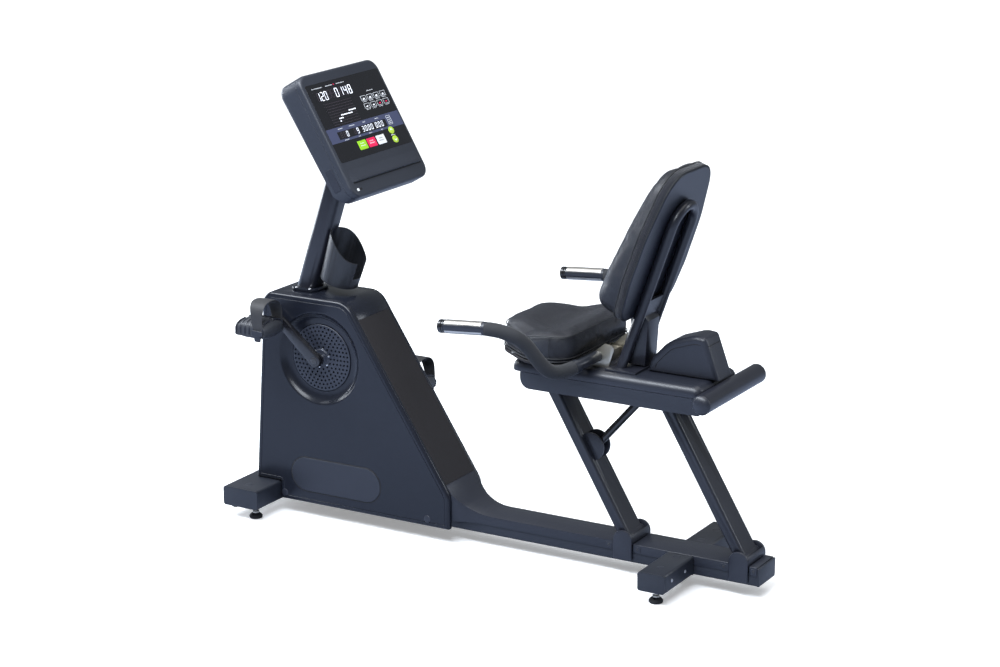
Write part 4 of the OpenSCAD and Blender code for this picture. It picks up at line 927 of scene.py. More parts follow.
def make_side_panel(side, name):
    """Pressed-looking side moulding: wrapped edge with a shadow groove, flat face and a dished crank recess."""
    corners = casing_corners()
    half = CASING_HALF
    rim = [(3.2, half - 16), (0.4, half - 16), (0, half - 15.5), (0, half - 10)]
    rim += [(10 * (1 - math.cos(a)), half - 10 + 10 * math.sin(a)) for a in np.linspace(0, math.pi / 2, 7)[1:]]
    rim += [(13.2, half), (13.6, half - 0.7), (14.4, half - 1.0), (15.2, half - 0.7), (15.6, half), (16.2, half)]
    loops = [[(x, side * y, z) for x, z in outline(corners, inset, 10)] for inset, y in rim]
    shape = Shape().loft(loops, caps=(False, False))
    circle = [(math.cos(a), math.sin(a)) for a in (math.tau * i / 96 for i in range(96))]
    bowl = [(BOWL_RADIUS + 1.5, half), (BOWL_RADIUS + 0.4, half - 0.1), (BOWL_RADIUS - 1.2, half - 1.0),
            (BOWL_RADIUS - 4, half - 3.2), (BOWL_RADIUS - 8, half - 6.8), (BOWL_RADIUS - 13, half - 11),
            (BOWL_RADIUS - 19, half - 14), (BOWL_RADIUS - 26, half - 15.6), (DISC_RADIUS + 5, half - 16),
            (DISC_RADIUS + 2.6, half - 16.2), (DISC_RADIUS + 2, half - 18), (DISC_RADIUS - 14, half - 18)]
    shape.join(Shape().loft([[(HUB[0] + r * c, side * y, HUB[1] + r * s) for c, s in circle] for r, y in bowl],
                            caps=(False, False)))
    outer = loops[-1]
    hole = [(HUB[0] + bowl[0][0] * c, side * half, HUB[1] + bowl[0][0] * s) for c, s in reversed(circle)]
    flat = [(x, z, 0) for x, _, z in outer], [(x, z, 0) for x, _, z in hole]
    shape.add(outer + hole, [tuple(t) for t in tessellate_polygon(flat)])
    piece(f"{name}_side_panel_finished", shape, "casing_plastic", "base", "casing_plastic",
          (f"{name}_side_panel",), 40)


def make_perforated_disc(side, name):
    """Disc drilled in rows, built as nodes: rings of drills cut from a shallow turned plate."""
    tree = bpy.data.node_groups.new("drilled_disc", "GeometryNodeTree")
    tree.interface.new_socket("Geometry", in_out="INPUT", socket_type="NodeSocketGeometry")
    tree.interface.new_socket("Geometry", in_out="OUTPUT", socket_type="NodeSocketGeometry")
    first = node_input(tree, "first_row", "NodeSocketFloat", 32 * MM)
    pitch = node_input(tree, "row_pitch", "NodeSocketFloat", 9.6 * MM)
    bore = node_input(tree, "hole_radius", "NodeSocketFloat", 2.9 * MM)
    make = tree.nodes.new
    inlet, outlet, drills = make("NodeGroupInput"), make("NodeGroupOutput"), make("GeometryNodeJoinGeometry")
    drill = make("GeometryNodeMeshCylinder")
    drill.inputs["Vertices"].default_value = 10
    drill.inputs["Depth"].default_value = 30 * MM
    tree.links.new(inlet.outputs["hole_radius"], drill.inputs["Radius"])
    for row in range(6):
        ring, set_out = make("GeometryNodeMeshCircle"), make("GeometryNodeInstanceOnPoints")
        ring.inputs["Vertices"].default_value = 14 + 6 * row
        reach = make("ShaderNodeMath")
        reach.operation = "MULTIPLY_ADD"
        tree.links.new(inlet.outputs["row_pitch"], reach.inputs[0])
        reach.inputs[1].default_value = row
        tree.links.new(inlet.outputs["first_row"], reach.inputs[2])
        tree.links.new(reach.outputs[0], ring.inputs["Radius"])
        tree.links.new(ring.outputs[0], set_out.inputs["Points"])
        tree.links.new(drill.outputs["Mesh"], set_out.inputs["Instance"])
        tree.links.new(set_out.outputs[0], drills.inputs[0])
    real, cut = make("GeometryNodeRealizeInstances"), make("GeometryNodeMeshBoolean")
    paint = make("GeometryNodeSetMaterial")
    cut.operation = "DIFFERENCE"
    paint.inputs["Material"].default_value = finish("disc_plastic")
    link(tree, drills, real)
    tree.links.new(inlet.outputs["Geometry"], cut.inputs["Mesh 1"])
    tree.links.new(real.outputs[0], cut.inputs["Mesh 2"])
    link(tree, cut, paint)
    link(tree, paint, outlet)
    r = DISC_RADIUS
    plate = revolve([(11, -1.4), (r - 1, -1.4), (r, -0.6), (r, 0.4), (r - 0.8, 1.2), (r - 3, 1.6), (26, 2.6), (24, 4),
                     (11, 4)], 96)
    mesh = bpy.data.meshes.new("disc_blank")
    mesh.from_pydata([tuple(c * MM for c in p) for p in plate.points], [], plate.faces)
    blank = bpy.data.objects.new("disc_blank", mesh)
    bpy.context.scene.collection.objects.link(blank)
    rows = blank.modifiers.new("drilling", "NODES")
    rows.node_group = tree
    rows[first], rows[pitch], rows[bore] = 33 * MM, 11.4 * MM, 3.3 * MM
    graph = bpy.context.evaluated_depsgraph_get()
    made = bpy.data.meshes.new_from_object(blank.evaluated_get(graph))
    bpy.data.objects.remove(blank)
    y = side * (CASING_HALF - 14.5) * MM
    made.transform(Matrix.Translation((HUB[0] * MM, y, HUB[1] * MM)) @ Matrix.Rotation(-side * math.pi / 2, 4, "X"))
    return finished_mesh(f"perforated_disc_{name}", made, "disc_plastic", "crank", "disc_plastic",
                         ("perforated_discs",), 30, True)


def make_disc_shade_backing(side, name):
    """Dark disc of painted shade behind the perforations, seen through the holes where the casing's inside would be in
    shade.
    """
    # painted shade: a near-black plate that darkens the holes
    back = revolve([(11, 0), (DISC_RADIUS - 4, 0), (DISC_RADIUS - 4, -1), (11, -1)], 64)
    back.moved(lambda x, y, z: (HUB[0] + x, side * (CASING_HALF - 19 + z), HUB[1] + y))
    piece(f"disc_shade_backing_{name}", back, "seam_shadow", "crank", "disc_plastic")


def make_badge():
    """Blank stadium badge on each side panel, ringed by a dark strip of painted shade where a groove would be, with a
    raised border and no mark.
    """
    for side, name in ((-1, "left"), (1, "right")):
        low, high, mid = CASING_FOOT + 39, CASING_FOOT + 140, HUB[0] + 51
        stadium = rectangle(mid - 152, mid + 152, low, high, 50)
        # painted shade: a flat dark ring around the badge that stands for the shade in a groove, not a real recess
        groove = slab([(x, z, r + 3) for x, z, r in rectangle(mid - 155.5, mid + 155.5, low - 3.5, high + 3.5, 50)],
                      -1, 0.3, 0.2, 12)
        groove.moved(to_xz(side, side * CASING_HALF))
        piece(f"badge_shade_ring_{name}", groove, "seam_shadow", "base", "casing_plastic")
        plate = slab(stadium, -1, 1.5, 1.2, 12).moved(to_xz(side, side * CASING_HALF))
        piece(f"badge_{name}", plate, "deck_plastic", "base", "casing_plastic")
        plugs = Shape()
        for x, z in ((CASING_FRONT + 100, CASING_FOOT + 21), (CASING_REAR - 72, CASING_FOOT + 23)):
            plug = revolve([(0, 1.0), (9, 1.0), (10.3, 0.7), (11, 0), (11, -1)], 32)
            plugs.join(plug.moved(lambda a, b, c, x=x, z=z: (x + a, side * (CASING_HALF + c), z + b)))
        piece(f"casing_plugs_{name}", plugs, "deck_plastic", "base", "casing_plastic")


# ---------- console ----------

CONSOLE_TILT = math.radians(59.7)
CONSOLE_DOWN = Vector((math.cos(CONSOLE_TILT), 0, -math.sin(CONSOLE_TILT)))
CONSOLE_OUT = Vector((math.sin(CONSOLE_TILT), 0, math.cos(CONSOLE_TILT)))
PANEL = (-161, 75, -184, 184)
PANEL_MIDDLE = (sum(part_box("display_panel"), Vector()) / 2) / MM
CONSOLE_HOME = PANEL_MIDDLE - CONSOLE_DOWN * (PANEL[0] + PANEL[1]) / 2 + CONSOLE_OUT * 1.4


def on_console(down, across, out):
    """Local console point (down the face, across it, out of it) to the row frame."""
    return tuple(CONSOLE_HOME + CONSOLE_DOWN * down + Vector((0, across, 0)) + CONSOLE_OUT * out)


def dash(down0, across0, down1, across1, width, low=0.0, high=0.35):
    """A thin printed stroke between two points of the face, with pointed ends."""
    a, b = Vector((down0, across0)), Vector((down1, across1))
    t = (b - a).normalized()
    n = Vector((-t.y, t.x)) * width / 2
    corners = [a, a + t * width / 2 + n, b - t * width / 2 + n, b, b - t * width / 2 - n, a + t * width / 2 - n]
    return Shape().loft([[(c.x, c.y, z) for c in corners] for z in (low, high)])


SEGMENTS = {"0": "abcdef", "1": "bc", "2": "abged", "3": "abgcd", "4": "fgbc", "5": "afgcd", "6": "afgedc",
            "7": "abc", "8": "abcdefg", "9": "abcdfg", "-": ""}
STROKES = {"a": (0, 0, 0, 1), "b": (0, 1, 0.5, 1), "c": (0.5, 1, 1, 1), "d": (1, 0, 1, 1), "e": (0.5, 0, 1, 0),
           "f": (0, 0, 0.5, 0), "g": (0.5, 0, 0.5, 1)}


def digits(lit, ghost, text, down, across, height, width, pitch, stroke):
    """Seven-segment figures: lit strokes go to one shape and unlit ones to another."""
    for i, figure in enumerate(text):
        for name, (d0, a0, d1, a1) in STROKES.items():
            lean = 0.1 * height
            ends = []
            for d, a in ((d0, a0), (d1, a1)):
                ends += [down + (d - 0.5) * height, across + i * pitch + a * width - (d - 0.5) * lean]
            (lit if name in SEGMENTS[figure] else ghost).join(dash(*ends, stroke))


def label(ink, down, across0, across1, height=3.2, seed=1):
    """Illegible small print: a row of short strokes of uneven length."""
    random = np.random.default_rng(seed)
    at = across0
    while at < across1 - 1.5:
        wide = min(random.uniform(1.6, 3.4), across1 - at)
        ink.join(dash(down - height / 2 + random.uniform(0, 0.8), at, down + height / 2, at + wide * 0.3, 0.9))
        ink.join(dash(down + random.uniform(-1, 1), at, down + random.uniform(-1, 1), at + wide, 0.9))
        at += wide + 1.1


def frame_line(ink, d0, d1, a0, a1, width=0.8):
    for stroke in ((d0, a0, d0, a1), (d1, a0, d1, a1), (d0, a0, d1, a0), (d0, a1, d1, a1)):
        ink.join(dash(*stroke, width))


def make_console_body():
    """Deep tray-like housing: soft front edge, seam, tapered lower back, reading ledge and side cover."""
    top, low, half, depth = -corner_down(-1), corner_down(1), corner("console_bezel", "y", 1), 80
    corners = rectangle(top - 9, low, -half, half, 36)
    rings = [(30, -depth), (9, -depth), (3, -depth + 2), (0.6, -depth + 6), (0, -depth + 12), (0, -21.4),
             (1.0, -20.6), (1.0, -19.6), (0, -18.8), (0, -9), (0.6, -5.4), (2.2, -2.8), (4.6, -1), (8, -0.1), (9.5, 0)]

    def tapered(down, across, out):
        lift = max(0.0, (down - (low - 66)) / 66) * 32
        return on_console(down, across, max(out, -depth + lift) if out < -40 else out)
    body = Shape().loft([[(x, y, z) for x, y in outline(corners, inset, 10)] for inset, z in rings]).moved(tapered)
    piece("console_body", body, "console_plastic", "base", "console_plastic", ("console_shell", "console_bezel"), 40)
    ledge = Shape()
    rows = []
    for across in np.linspace(-half + 20, half - 16, 30):
        side = min(1.0, (across + half - 20) / 16, (half - 16 - across) / 16)
        tall = 6.5 * max(0.0, side) ** 0.5
        rows.append([(96, across, -0.5), (110, across, tall * 0.22), (124, across, tall * 0.72), (131, across, tall),
                     (134, across, tall * 0.97), (135.4, across, tall * 0.7), (135.9, across, -0.5)])
    ledge.loft(rows, closed=False, caps=(False, False)).moved(on_console)
    piece("console_ledge", ledge, "console_plastic", "base", "console_plastic", (), 50)
    shade = slab(rectangle(135, 139.5, -half + 24, half - 20, 2), 0, 0.3, 0.1, 3).moved(on_console)
    piece("console_ledge_shade", shade, "seam_shadow", "base", "console_plastic")
    cover = Shape()
    for side in (-1, 1):
        plate = slab(rectangle(low - 106, low - 40, -56, -30, 5), -1, 1.2, 0.8, 5)
        cover.join(plate.moved(lambda d, z, out, side=side: on_console(d, side * (half + out), z)))
    piece("console_side_covers", cover, "deck_plastic", "base", "console_plastic")
    port = slab(rectangle(154, 162, -half + 26, -half + 36, 1.5), 0, 0.5, 0.2, 3).moved(on_console)
    piece("console_port_plug", port, "white_key", "base", "console_plastic")
    socket = slab(rectangle(155, 161, -half + 39, -half + 51, 2), 0, 0.25, 0.1, 3).moved(on_console)
    piece("console_socket", socket, "seam_shadow", "base", "console_plastic")


def corner_down(end):
    """How far the console reaches up (-1) or down (1) its face from the home point."""
    low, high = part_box("console_bezel")
    far = [(Vector((x, 0, z)) / MM - CONSOLE_HOME).dot(CONSOLE_DOWN) * end
           for x in (low.x, high.x) for z in (low.z, high.z)]
    reach = sorted(far)[-1]
    return reach - 22 * math.sin(CONSOLE_TILT) * math.cos(CONSOLE_TILT)


def make_display():
    """Glossy membrane panel: windows, band, figures, bar matrix, outlined touch keys and small print."""
    glass = slab([(d, a, 7) for d, a in ((PANEL[0], PANEL[2]), (PANEL[1], PANEL[2]), (PANEL[1], PANEL[3]),
                                         (PANEL[0], PANEL[3]))], -1.5, 0.25, 0.2, 6)
    piece("display_glass", glass.moved(on_console), "display_gloss", "base", "display_gloss", ("display_panel",))
    lit, ghost, ink, red, dark = Shape(), Shape(), Shape(), Shape(), Shape()
    band = slab(rectangle(-26, 18, PANEL[2] + 0.3, PANEL[3] - 0.3, 0.5), 0.2, 0.5, 0.1, 2).moved(on_console)
    piece("display_band", band, "display_band", "base", "display_gloss")
    for a0, a1 in ((-140, -48), (-46, 106)):
        dark.join(slab(rectangle(-12, 11, a0, a1, 1.5), 0.4, 0.7, 0.1, 3))
    dark.join(slab(rectangle(-140, -106, -162, 34, 2), 0.2, 0.42, 0.1, 3))
    dark.join(slab(rectangle(-101, -28, -140, -4, 2), 0.2, 0.42, 0.1, 3))
    digits(lit, ghost, "120", -121, -150, 24, 11, 18, 2.0)
    digits(lit, ghost, "--", -123, -97, 24, 12, 17, 1.6)
    digits(lit, ghost, "0148", -122, -60, 25, 12, 22, 2.2)
    for text, across in (("--0", -128), ("-9", -60), ("3000", -18), ("000", 50)):
        digits(lit, ghost, text, -1, across, 15, 7.5, 15, 1.5)
    bright = {4: range(13, 18), 5: range(7, 15), 6: range(5, 8), 7: range(5, 6)}
    for row in range(9):
        for column in range(18):
            d, a = -96 + row * 8.0, -136 + column * 7.4
            on = column in bright.get(row, ())
            (lit if on else ghost).join(dash(d, a, d, a + 6.2, 3.4 if on else 1.8, 0.3, 0.8))
    for n, (d, a0, a1) in enumerate(((-147, -160, -110), (-147, -92, -58), (-147, -38, 0), (-104, 84, 116),
                                     (-20, -128, -106), (-20, -72, -46), (-20, -2, 8), (-20, 60, 80),
                                     (15, -118, -98), (15, -50, -38), (15, 4, 18), (15, 66, 76), (39, 100, 122))):
        label(ink, d, a0, a1, 3.0, n)
    red.join(dash(-147, -54, -147, -49, 4.5))
    for row in range(2):
        for column in range(4):
            d, a = -93 + row * 24, 42 + column * 33
            frame_line(ink, d, d + 14.5, a, a + 25)
            label(ink, d + 18, a + 3, a + 23, 2.0, 40 + row * 4 + column)
            (red if row and column > 1 else lit).join(dash(d + 9.5, a + 8, d + 8, a + 17, 3.4))
            if not row:
                ink.join(dash(d + 11.5, a + 5, d + 11.5, a + 20, 1.2))
    frame_line(ink, -19, 8, 116, 134)
    for d in (-13, -7, -1, 4):
        ink.join(dash(d, 119, d, 131, 1.4))
    for shape, name, material in ((dark, "display_windows", "display_gloss"), (lit, "display_lit", "digit_light"),
                                  (ghost, "display_unlit", "ghost_ink"), (ink, "display_print", "display_ink"),
                                  (red, "display_red", "red_key")):
        if shape is not dark:
            shape.moved(lambda d, a, out: (d, a, out + 0.55))
        piece(name, shape.moved(on_console), material, "base", "display_gloss", (), 30)
    faces = (("start_key", "green_key", 42, -50, "start_button"), ("stop_key", "red_key", 42, -3, "stop_button"),
             ("enter_key", "white_key", 42, 45, "enter_button"))
    for node, material, down, across, body in faces:
        mark = Shape()
        for d, wide in ((-5, 9), (2, 12)):
            label(mark, down + d, across - wide, across + wide, 4.0, int(down + wide))
        key = slab(rectangle(down - 13.5, down + 13.5, across - 20.5, across + 20.5, 2.5), -2.5, 1.4, 0.8, 4)
        piece(f"{node}_cap", key.moved(on_console), material, body, material, (node,))
        ink_name = "key_print_dark" if node == "enter_key" else "display_ink"
        piece(f"{node}_print", mark.moved(lambda d, a, out: on_console(d, a, out + 1.3)), ink_name, body, material)
    for node, down, body, way in (("level_up_key", 25, "level_up_button", -1),
                                  ("level_down_key", 53, "level_down_button", 1)):
        oval = [(down + 11 * math.cos(a), 111 + 13 * math.sin(a)) for a in (math.tau * i / 32 for i in range(32))]
        rings = [(0.9, -2.5), (1, -0.2), (1, 0.9), (0.96, 1.25), (0.9, 1.4)]
        cap = Shape().loft([[(down + (d - down) * k, 111 + (a - 111) * k, z) for d, a in oval] for k, z in rings])
        piece(f"{node}_cap", cap.moved(on_console), "lime_key", body, "lime_key", (node,))
        arrow = dash(down + way * 5, 111, down - way * 1, 106, 2.4)
        arrow.join(dash(down + way * 5, 111, down - way * 1, 116, 2.4))
        piece(f"{node}_arrow", arrow.moved(lambda d, a, out: on_console(d, a, out + 1.3)), "display_ink", body,
              "lime_key")


# ---------- pedals and cranks ----------

def make_pedal(side, name):
    """Weighted strap pedal: swollen tread with arched ribs, side rims, counterweight lugs and a buckled strap."""
    low, high = (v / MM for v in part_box(f"pedal_{name}"))
    top = high.z
    mid_x, mid_y = (low.x + high.x) / 2, (low.y + high.y) / 2
    half_x, half_y, thick = (high.x - low.x) / 2 + 4, (high.y - low.y) / 2 + 3, 29
    axle_z = top - thick + 3
    deck = Shape()
    rings = []
    for k in range(13):
        a = math.pi * (k / 12 - 0.5)
        rings.append((math.sin(a), math.cos(a) ** 0.3))
    loops = []
    for t, c in rings:
        y = mid_y + t * half_y * 0.98
        lift = 1 - 0.18 * t * t
        loops.append([(mid_x + (half_x * (0.72 + 0.28 * c)) * math.copysign(abs(math.cos(u)) ** 0.55, math.cos(u)),
                       y, axle_z + thick * max(c, 0.3) * lift * math.copysign(abs(math.sin(u)) ** 0.7, math.sin(u)))
                      for u in (math.tau * i / 40 for i in range(40))])
    deck.loft(loops)
    piece(f"pedal_{name}_body", deck, "pedal_plastic", f"{name}_pedal", "pedal_plastic", (f"pedal_{name}",), 50)
    ribs = Shape()
    for k in range(7):
        x = mid_x + (k - 3) * half_x * 0.25
        bow = (k - 3) * 1.6
        arch = 1 - 0.1 * abs(k - 3) / 3
        for way in (-1, 1):
            route = [(x + bow * 0.2, mid_y + way * half_y * 0.18, axle_z + thick * arch * 0.98),
                     (x + bow * 0.4, mid_y + way * half_y * 0.72, axle_z + thick * arch * 0.88),
                     (x + bow, mid_y + way * half_y * 0.985, axle_z + thick * 0.4),
                     (x + bow, mid_y + way * half_y * 0.985, axle_z - thick * 0.3)]
            ribs.join(tube(smooth_path(route, 2), 2.6, 8, cap=1.8))
    piece(f"pedal_{name}_ribs", ribs, "deck_plastic", f"{name}_pedal", "pedal_plastic", (), 60)
    lugs = Shape()
    for x, wide, drop in ((mid_x - 22, 12, 0), (mid_x + 26, 13, 4)):
        block = slab(rectangle(x - wide, x + wide, low.z + 1 + drop, axle_z - 8, 9),
                     -half_y * 0.55, half_y * 0.55, 4, 6)
        lugs.join(block.moved(lambda a, b, c: (a, mid_y + c, b)))
    rim = [(x, z, 14) for x, z, _ in rectangle(mid_x - half_x * 0.93, mid_x + half_x * 0.93, axle_z - 17, axle_z - 5, 5)]
    for way in (-1, 1):
        lip = slab([(x, z, 5.5) for x, z, _ in rim], -2.4, 2.4, 1.6, 5)
        lugs.join(lip.moved(lambda a, b, c, way=way: (a, mid_y + way * (half_y * 0.93) + c, b)))
    piece(f"pedal_{name}_weights", lugs, "pedal_plastic", f"{name}_pedal", "pedal_plastic")
    s_low, s_high = (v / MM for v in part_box(f"pedal_strap_{name}"))
    tall, foot = s_high.z - 1.5, axle_z - 4
    reach = (s_high.y - s_low.y) / 2 - 1.6
    middle = (s_low.x + s_high.x) / 2
    route = smooth_path([(0, -reach, foot), (0, -reach - 0.5, foot + 24), (0, -reach * 0.97, tall - 18),
                         (0, -reach * 0.5, tall + 1), (0, reach * 0.45, tall), (0, reach * 0.95, tall - 24),
                         (0, reach + 0.5, foot + 22), (0, reach, foot)], 3)
    section = outline(rectangle(-1, 1, -1, 1, 0.6), 0, 3)
    loops = []
    for i, p in enumerate(route):
        t = (route[min(i + 1, len(route) - 1)] - route[max(i - 1, 0)]).normalized()
        out = Vector((0, -t.z, t.y))
        share = i / (len(route) - 1)
        wide = 16 + 11 * math.sin(math.pi * share) ** 3
        shift = -10 * math.sin(math.pi * share) ** 3
        loops.append([(middle + shift + u * wide, p.y + mid_y + out.y * v * 1.5, p.z + out.z * v * 1.5)
                      for u, v in section])
    piece(f"strap_{name}", Shape().loft(loops), "strap_rubber", f"{name}_pedal", "strap_rubber",
          (f"pedal_strap_{name}",), 50)
    buckle = Shape()
    outer = side * (reach + 2.4)
    buckle.join(slab(rectangle(middle - 19, middle + 19, foot - 7, foot + 9, 4), 0, 5, 1.5, 5)
                .moved(lambda a, b, c: (a, mid_y + outer - side * 1.5 + side * c, b)))
    buckle.join(slab(rectangle(middle - 11, middle + 11, foot - 24, foot - 4, 5), 0, 3.2, 1.2, 5)
                .moved(lambda a, b, c: (a, mid_y + outer - side * 1.5 + side * c, b)))
    piece(f"strap_buckle_{name}", buckle, "deck_plastic", f"{name}_pedal", "strap_rubber")


SPINDLE_UNDER_TOP = 12  # the pedal turns about this line, so the spindle and the arm's eye lie on it


def make_crank(side, name):
    """Forged crank arm: round hub, waisted shank and eye, with a dust cap and bolts."""
    low, high = (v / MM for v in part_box(f"crank_arm_{name}"))
    p_low, p_high = (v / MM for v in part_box(f"pedal_{name}"))
    eye = Vector(((p_low.x + p_high.x) / 2, p_high.z - SPINDLE_UNDER_TOP))
    hub = Vector(HUB)
    along = (eye - hub).normalized()
    across = Vector((-along.y, along.x))
    length = (eye - hub).length
    profile = []
    for k in range(17):
        a = math.pi / 2 + math.pi * k / 16
        profile.append((19 * math.cos(a), 19 * math.sin(a)))
    for k in range(17):
        a = -math.pi / 2 + math.pi * k / 16
        profile.append((length + 14 * math.cos(a), 14 * math.sin(a)))
    in_y = low.y if side > 0 else -high.y
    mid = (CASING_HALF + 10, CASING_HALF + 26)
    loops = []
    for grow, y in ((-2.5, mid[0]), (-0.6, mid[0] + 0.7), (0, mid[0] + 2.4), (0, mid[1] - 3), (-0.8, mid[1] - 1),
                    (-3, mid[1])):
        loops.append([])
        for u, w in profile:
            k = 1 + grow / 16
            base = length if u > length / 2 else 0
            p = hub + along * (base + (u - base) * k) + across * w * k
            loops[-1].append((p.x, side * y, p.y))
    arm = Shape().loft(loops)
    boss = revolve([(13, in_y), (21, in_y), (21, in_y + 8), (17, mid[0] + 2), (13, mid[0] + 2)], 40)
    arm.join(boss.moved(lambda a, b, c: (hub.x + a, side * c, hub.y + b)))
    piece(f"crank_arm_{name}_finished", arm, "crank_paint", "crank", "crank_paint", (f"crank_arm_{name}",), 40)
    bolts = Shape()
    cap = revolve([(0, 2.2), (3.2, 2.2), (3.6, 3), (8.6, 3), (10, 2.2), (10.5, 0), (10.5, -2)], 32)
    bolts.join(cap.moved(lambda a, b, c: (hub.x + a, side * (mid[1] + c * 0.6), hub.y + b)))
    piece(f"crank_bolt_{name}", bolts, "black_bolt", "crank", "crank_paint")
    ring = Shape()
    for k in range(6):
        a = math.tau * k / 6 + 0.3
        dot = revolve([(0, 1.6), (2.0, 1.6), (3.0, 1.0), (3.2, 0), (3.2, -2)], 12)
        ring.join(dot.moved(lambda x, y, z, a=a: (hub.x + 27 * math.cos(a) + x, side * (CASING_HALF - 11.5 + z),
                                                  hub.y + 27 * math.sin(a) + y)))
    piece(f"hub_bolts_{name}", ring, "bright_steel", "crank", "disc_plastic")
    reach = (high.y if side > 0 else -low.y)
    pin = revolve([(0, mid[0] - 3), (6, mid[0] - 3), (7.5, mid[0] - 1), (7.5, mid[1] + 1), (8.6, mid[1] + 1.5),
                   (8.6, mid[1] + 4), (7, mid[1] + 5), (7, reach - 1), (6, reach), (0, reach)], 24)
    piece(f"pedal_pin_{name}", pin.moved(lambda a, b, c: (eye.x + a, side * c, eye.y + b)), "black_bolt", "crank",
          "crank_paint")


# ---------- carriage, small parts ----------

def make_carriage_covers():
    """Soft-shouldered carriage cover, strut shroud with its cap line, and the lift handle with domed ends."""
    x0, x1 = corner("carriage_cover", "x", 0), corner("carriage_cover", "x", 1)
    low, high = corner("carriage_cover", "z", 0), corner("carriage_cover", "z", 1)
    half = corner("carriage_cover", "y", 1)
    top = slab(rectangle(x0 - 6, x1, -half, half, 26), max(low, high - 31.6), high, 22, 8, 7, bottom_edge=1.2)
    piece("carriage_top", top, "deck_plastic", "carriage", "deck_plastic", ("carriage_cover",), 40)
    x0, x1 = corner("strut_shroud", "x", 0), corner("strut_shroud", "x", 1)
    low, high = corner("strut_shroud", "z", 0), corner("strut_shroud", "z", 1)
    half = corner("strut_shroud", "y", 1)
    corners = [(x0, low, 0), (x1, low, 2), (x1 - 42, high - 3, 13), (x1 - 74, high, 60), (x0 + 58, high - 26, 90),
               (x0 + 4, low + 34, 60)]
    shell = slab(corners, -half, half, 13, 8, 6).moved(lambda x, z, y: (x, y, z))
    piece("shroud_shell", shell, "deck_plastic", "carriage", "deck_plastic", ("strut_shroud",), 40)
    line = Shape()
    for side in (-1, 1):
        arc = [(x, z) for x, z in outline(corners, 21, 8) if z > low + 12 and x < x1 - 50]
        arc = sorted(arc, key=lambda p: p[0])
        route = [(x, side * (half + 0.1), z) for x, z in arc] + [(x1 - 40, side * (half - 4), high - 25)]
        line.join(tube(route, 0.9, 8))
    route = [(x1 - 40, -half + 4, high - 25), (x1 - 33, -half + 11, high - 25), (x1 - 33, half - 11, high - 25),
             (x1 - 40, half - 4, high - 25)]
    line.join(tube(route, 0.9, 8))
    piece("shroud_cap_line", line, "seam_shadow", "carriage", "deck_plastic")
    axis_x = (corner("lift_handle", "x", 0) + corner("lift_handle", "x", 1)) / 2
    axis_z = (corner("lift_handle", "z", 0) + corner("lift_handle", "z", 1)) / 2
    radius, half = (corner("lift_handle", "z", 1) - corner("lift_handle", "z", 0)) / 2, corner("lift_handle", "y", 1)
    bar = tube([(axis_x, y, axis_z) for y in (-half + 9, -half / 2, 0, half / 2, half - 9)], radius, 48)
    piece("lift_bar", bar, "leg_paint", "carriage", "rail_paint", ("lift_handle",), 40)
    caps = Shape()
    dome = revolve([(radius - 3, 0), (radius - 0.4, 0.2), (radius + 0.2, 1.2), (radius + 0.2, 4), (radius - 2, 8),
                    (radius - 7, 12.4), (radius - 14, 15.4), (0, 17)], 40)
    for side in (-1, 1):
        turned = Shape().join(dome).moved(lambda a, b, c, side=side: (axis_x + a, side * (half - 9 + c), axis_z + b))
        caps.join(turned)
    piece("lift_bar_caps", caps, "deck_plastic", "carriage", "rail_paint", (), 40)


def make_levelling_feet():
    """Domed rubber feet under a plated stem and lock nut."""
    for end in ("front_left", "front_right", "rear_left", "rear_right"):
        node = f"levelling_foot_{end}"
        low, high = (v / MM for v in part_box(node))
        x, y, z = (low.x + high.x) / 2, (low.y + high.y) / 2, low.z
        foot = revolve([(0, 0), (15, 0), (18, 1.2), (19.5, 4), (19.5, 8), (17, 12), (13, 14.5), (12, 16), (0, 16)], 32)
        piece(f"foot_pad_{end}", foot.moved(lambda a, b, c: (x + a, y + b, z + c)), "foot_rubber", f"{end}_foot",
              "foot_rubber", (node,))
        nut = Shape().loft([[(x + r * math.cos(a), y + r * math.sin(a), z + h)
                             for a in (math.tau * k / 6 for k in range(6))]
                            for r, h in ((9.6, 16), (10.6, 16.8), (10.6, 21.4), (9.8, 22))])
        stem = revolve([(0, 21), (5, 21), (5, high.z - z), (0, high.z - z)], 20)
        nut.join(stem.moved(lambda a, b, c: (x + a, y + b, z + c)))
        piece(f"foot_nut_{end}", nut, "zinc_plate", f"{end}_foot", "foot_rubber")


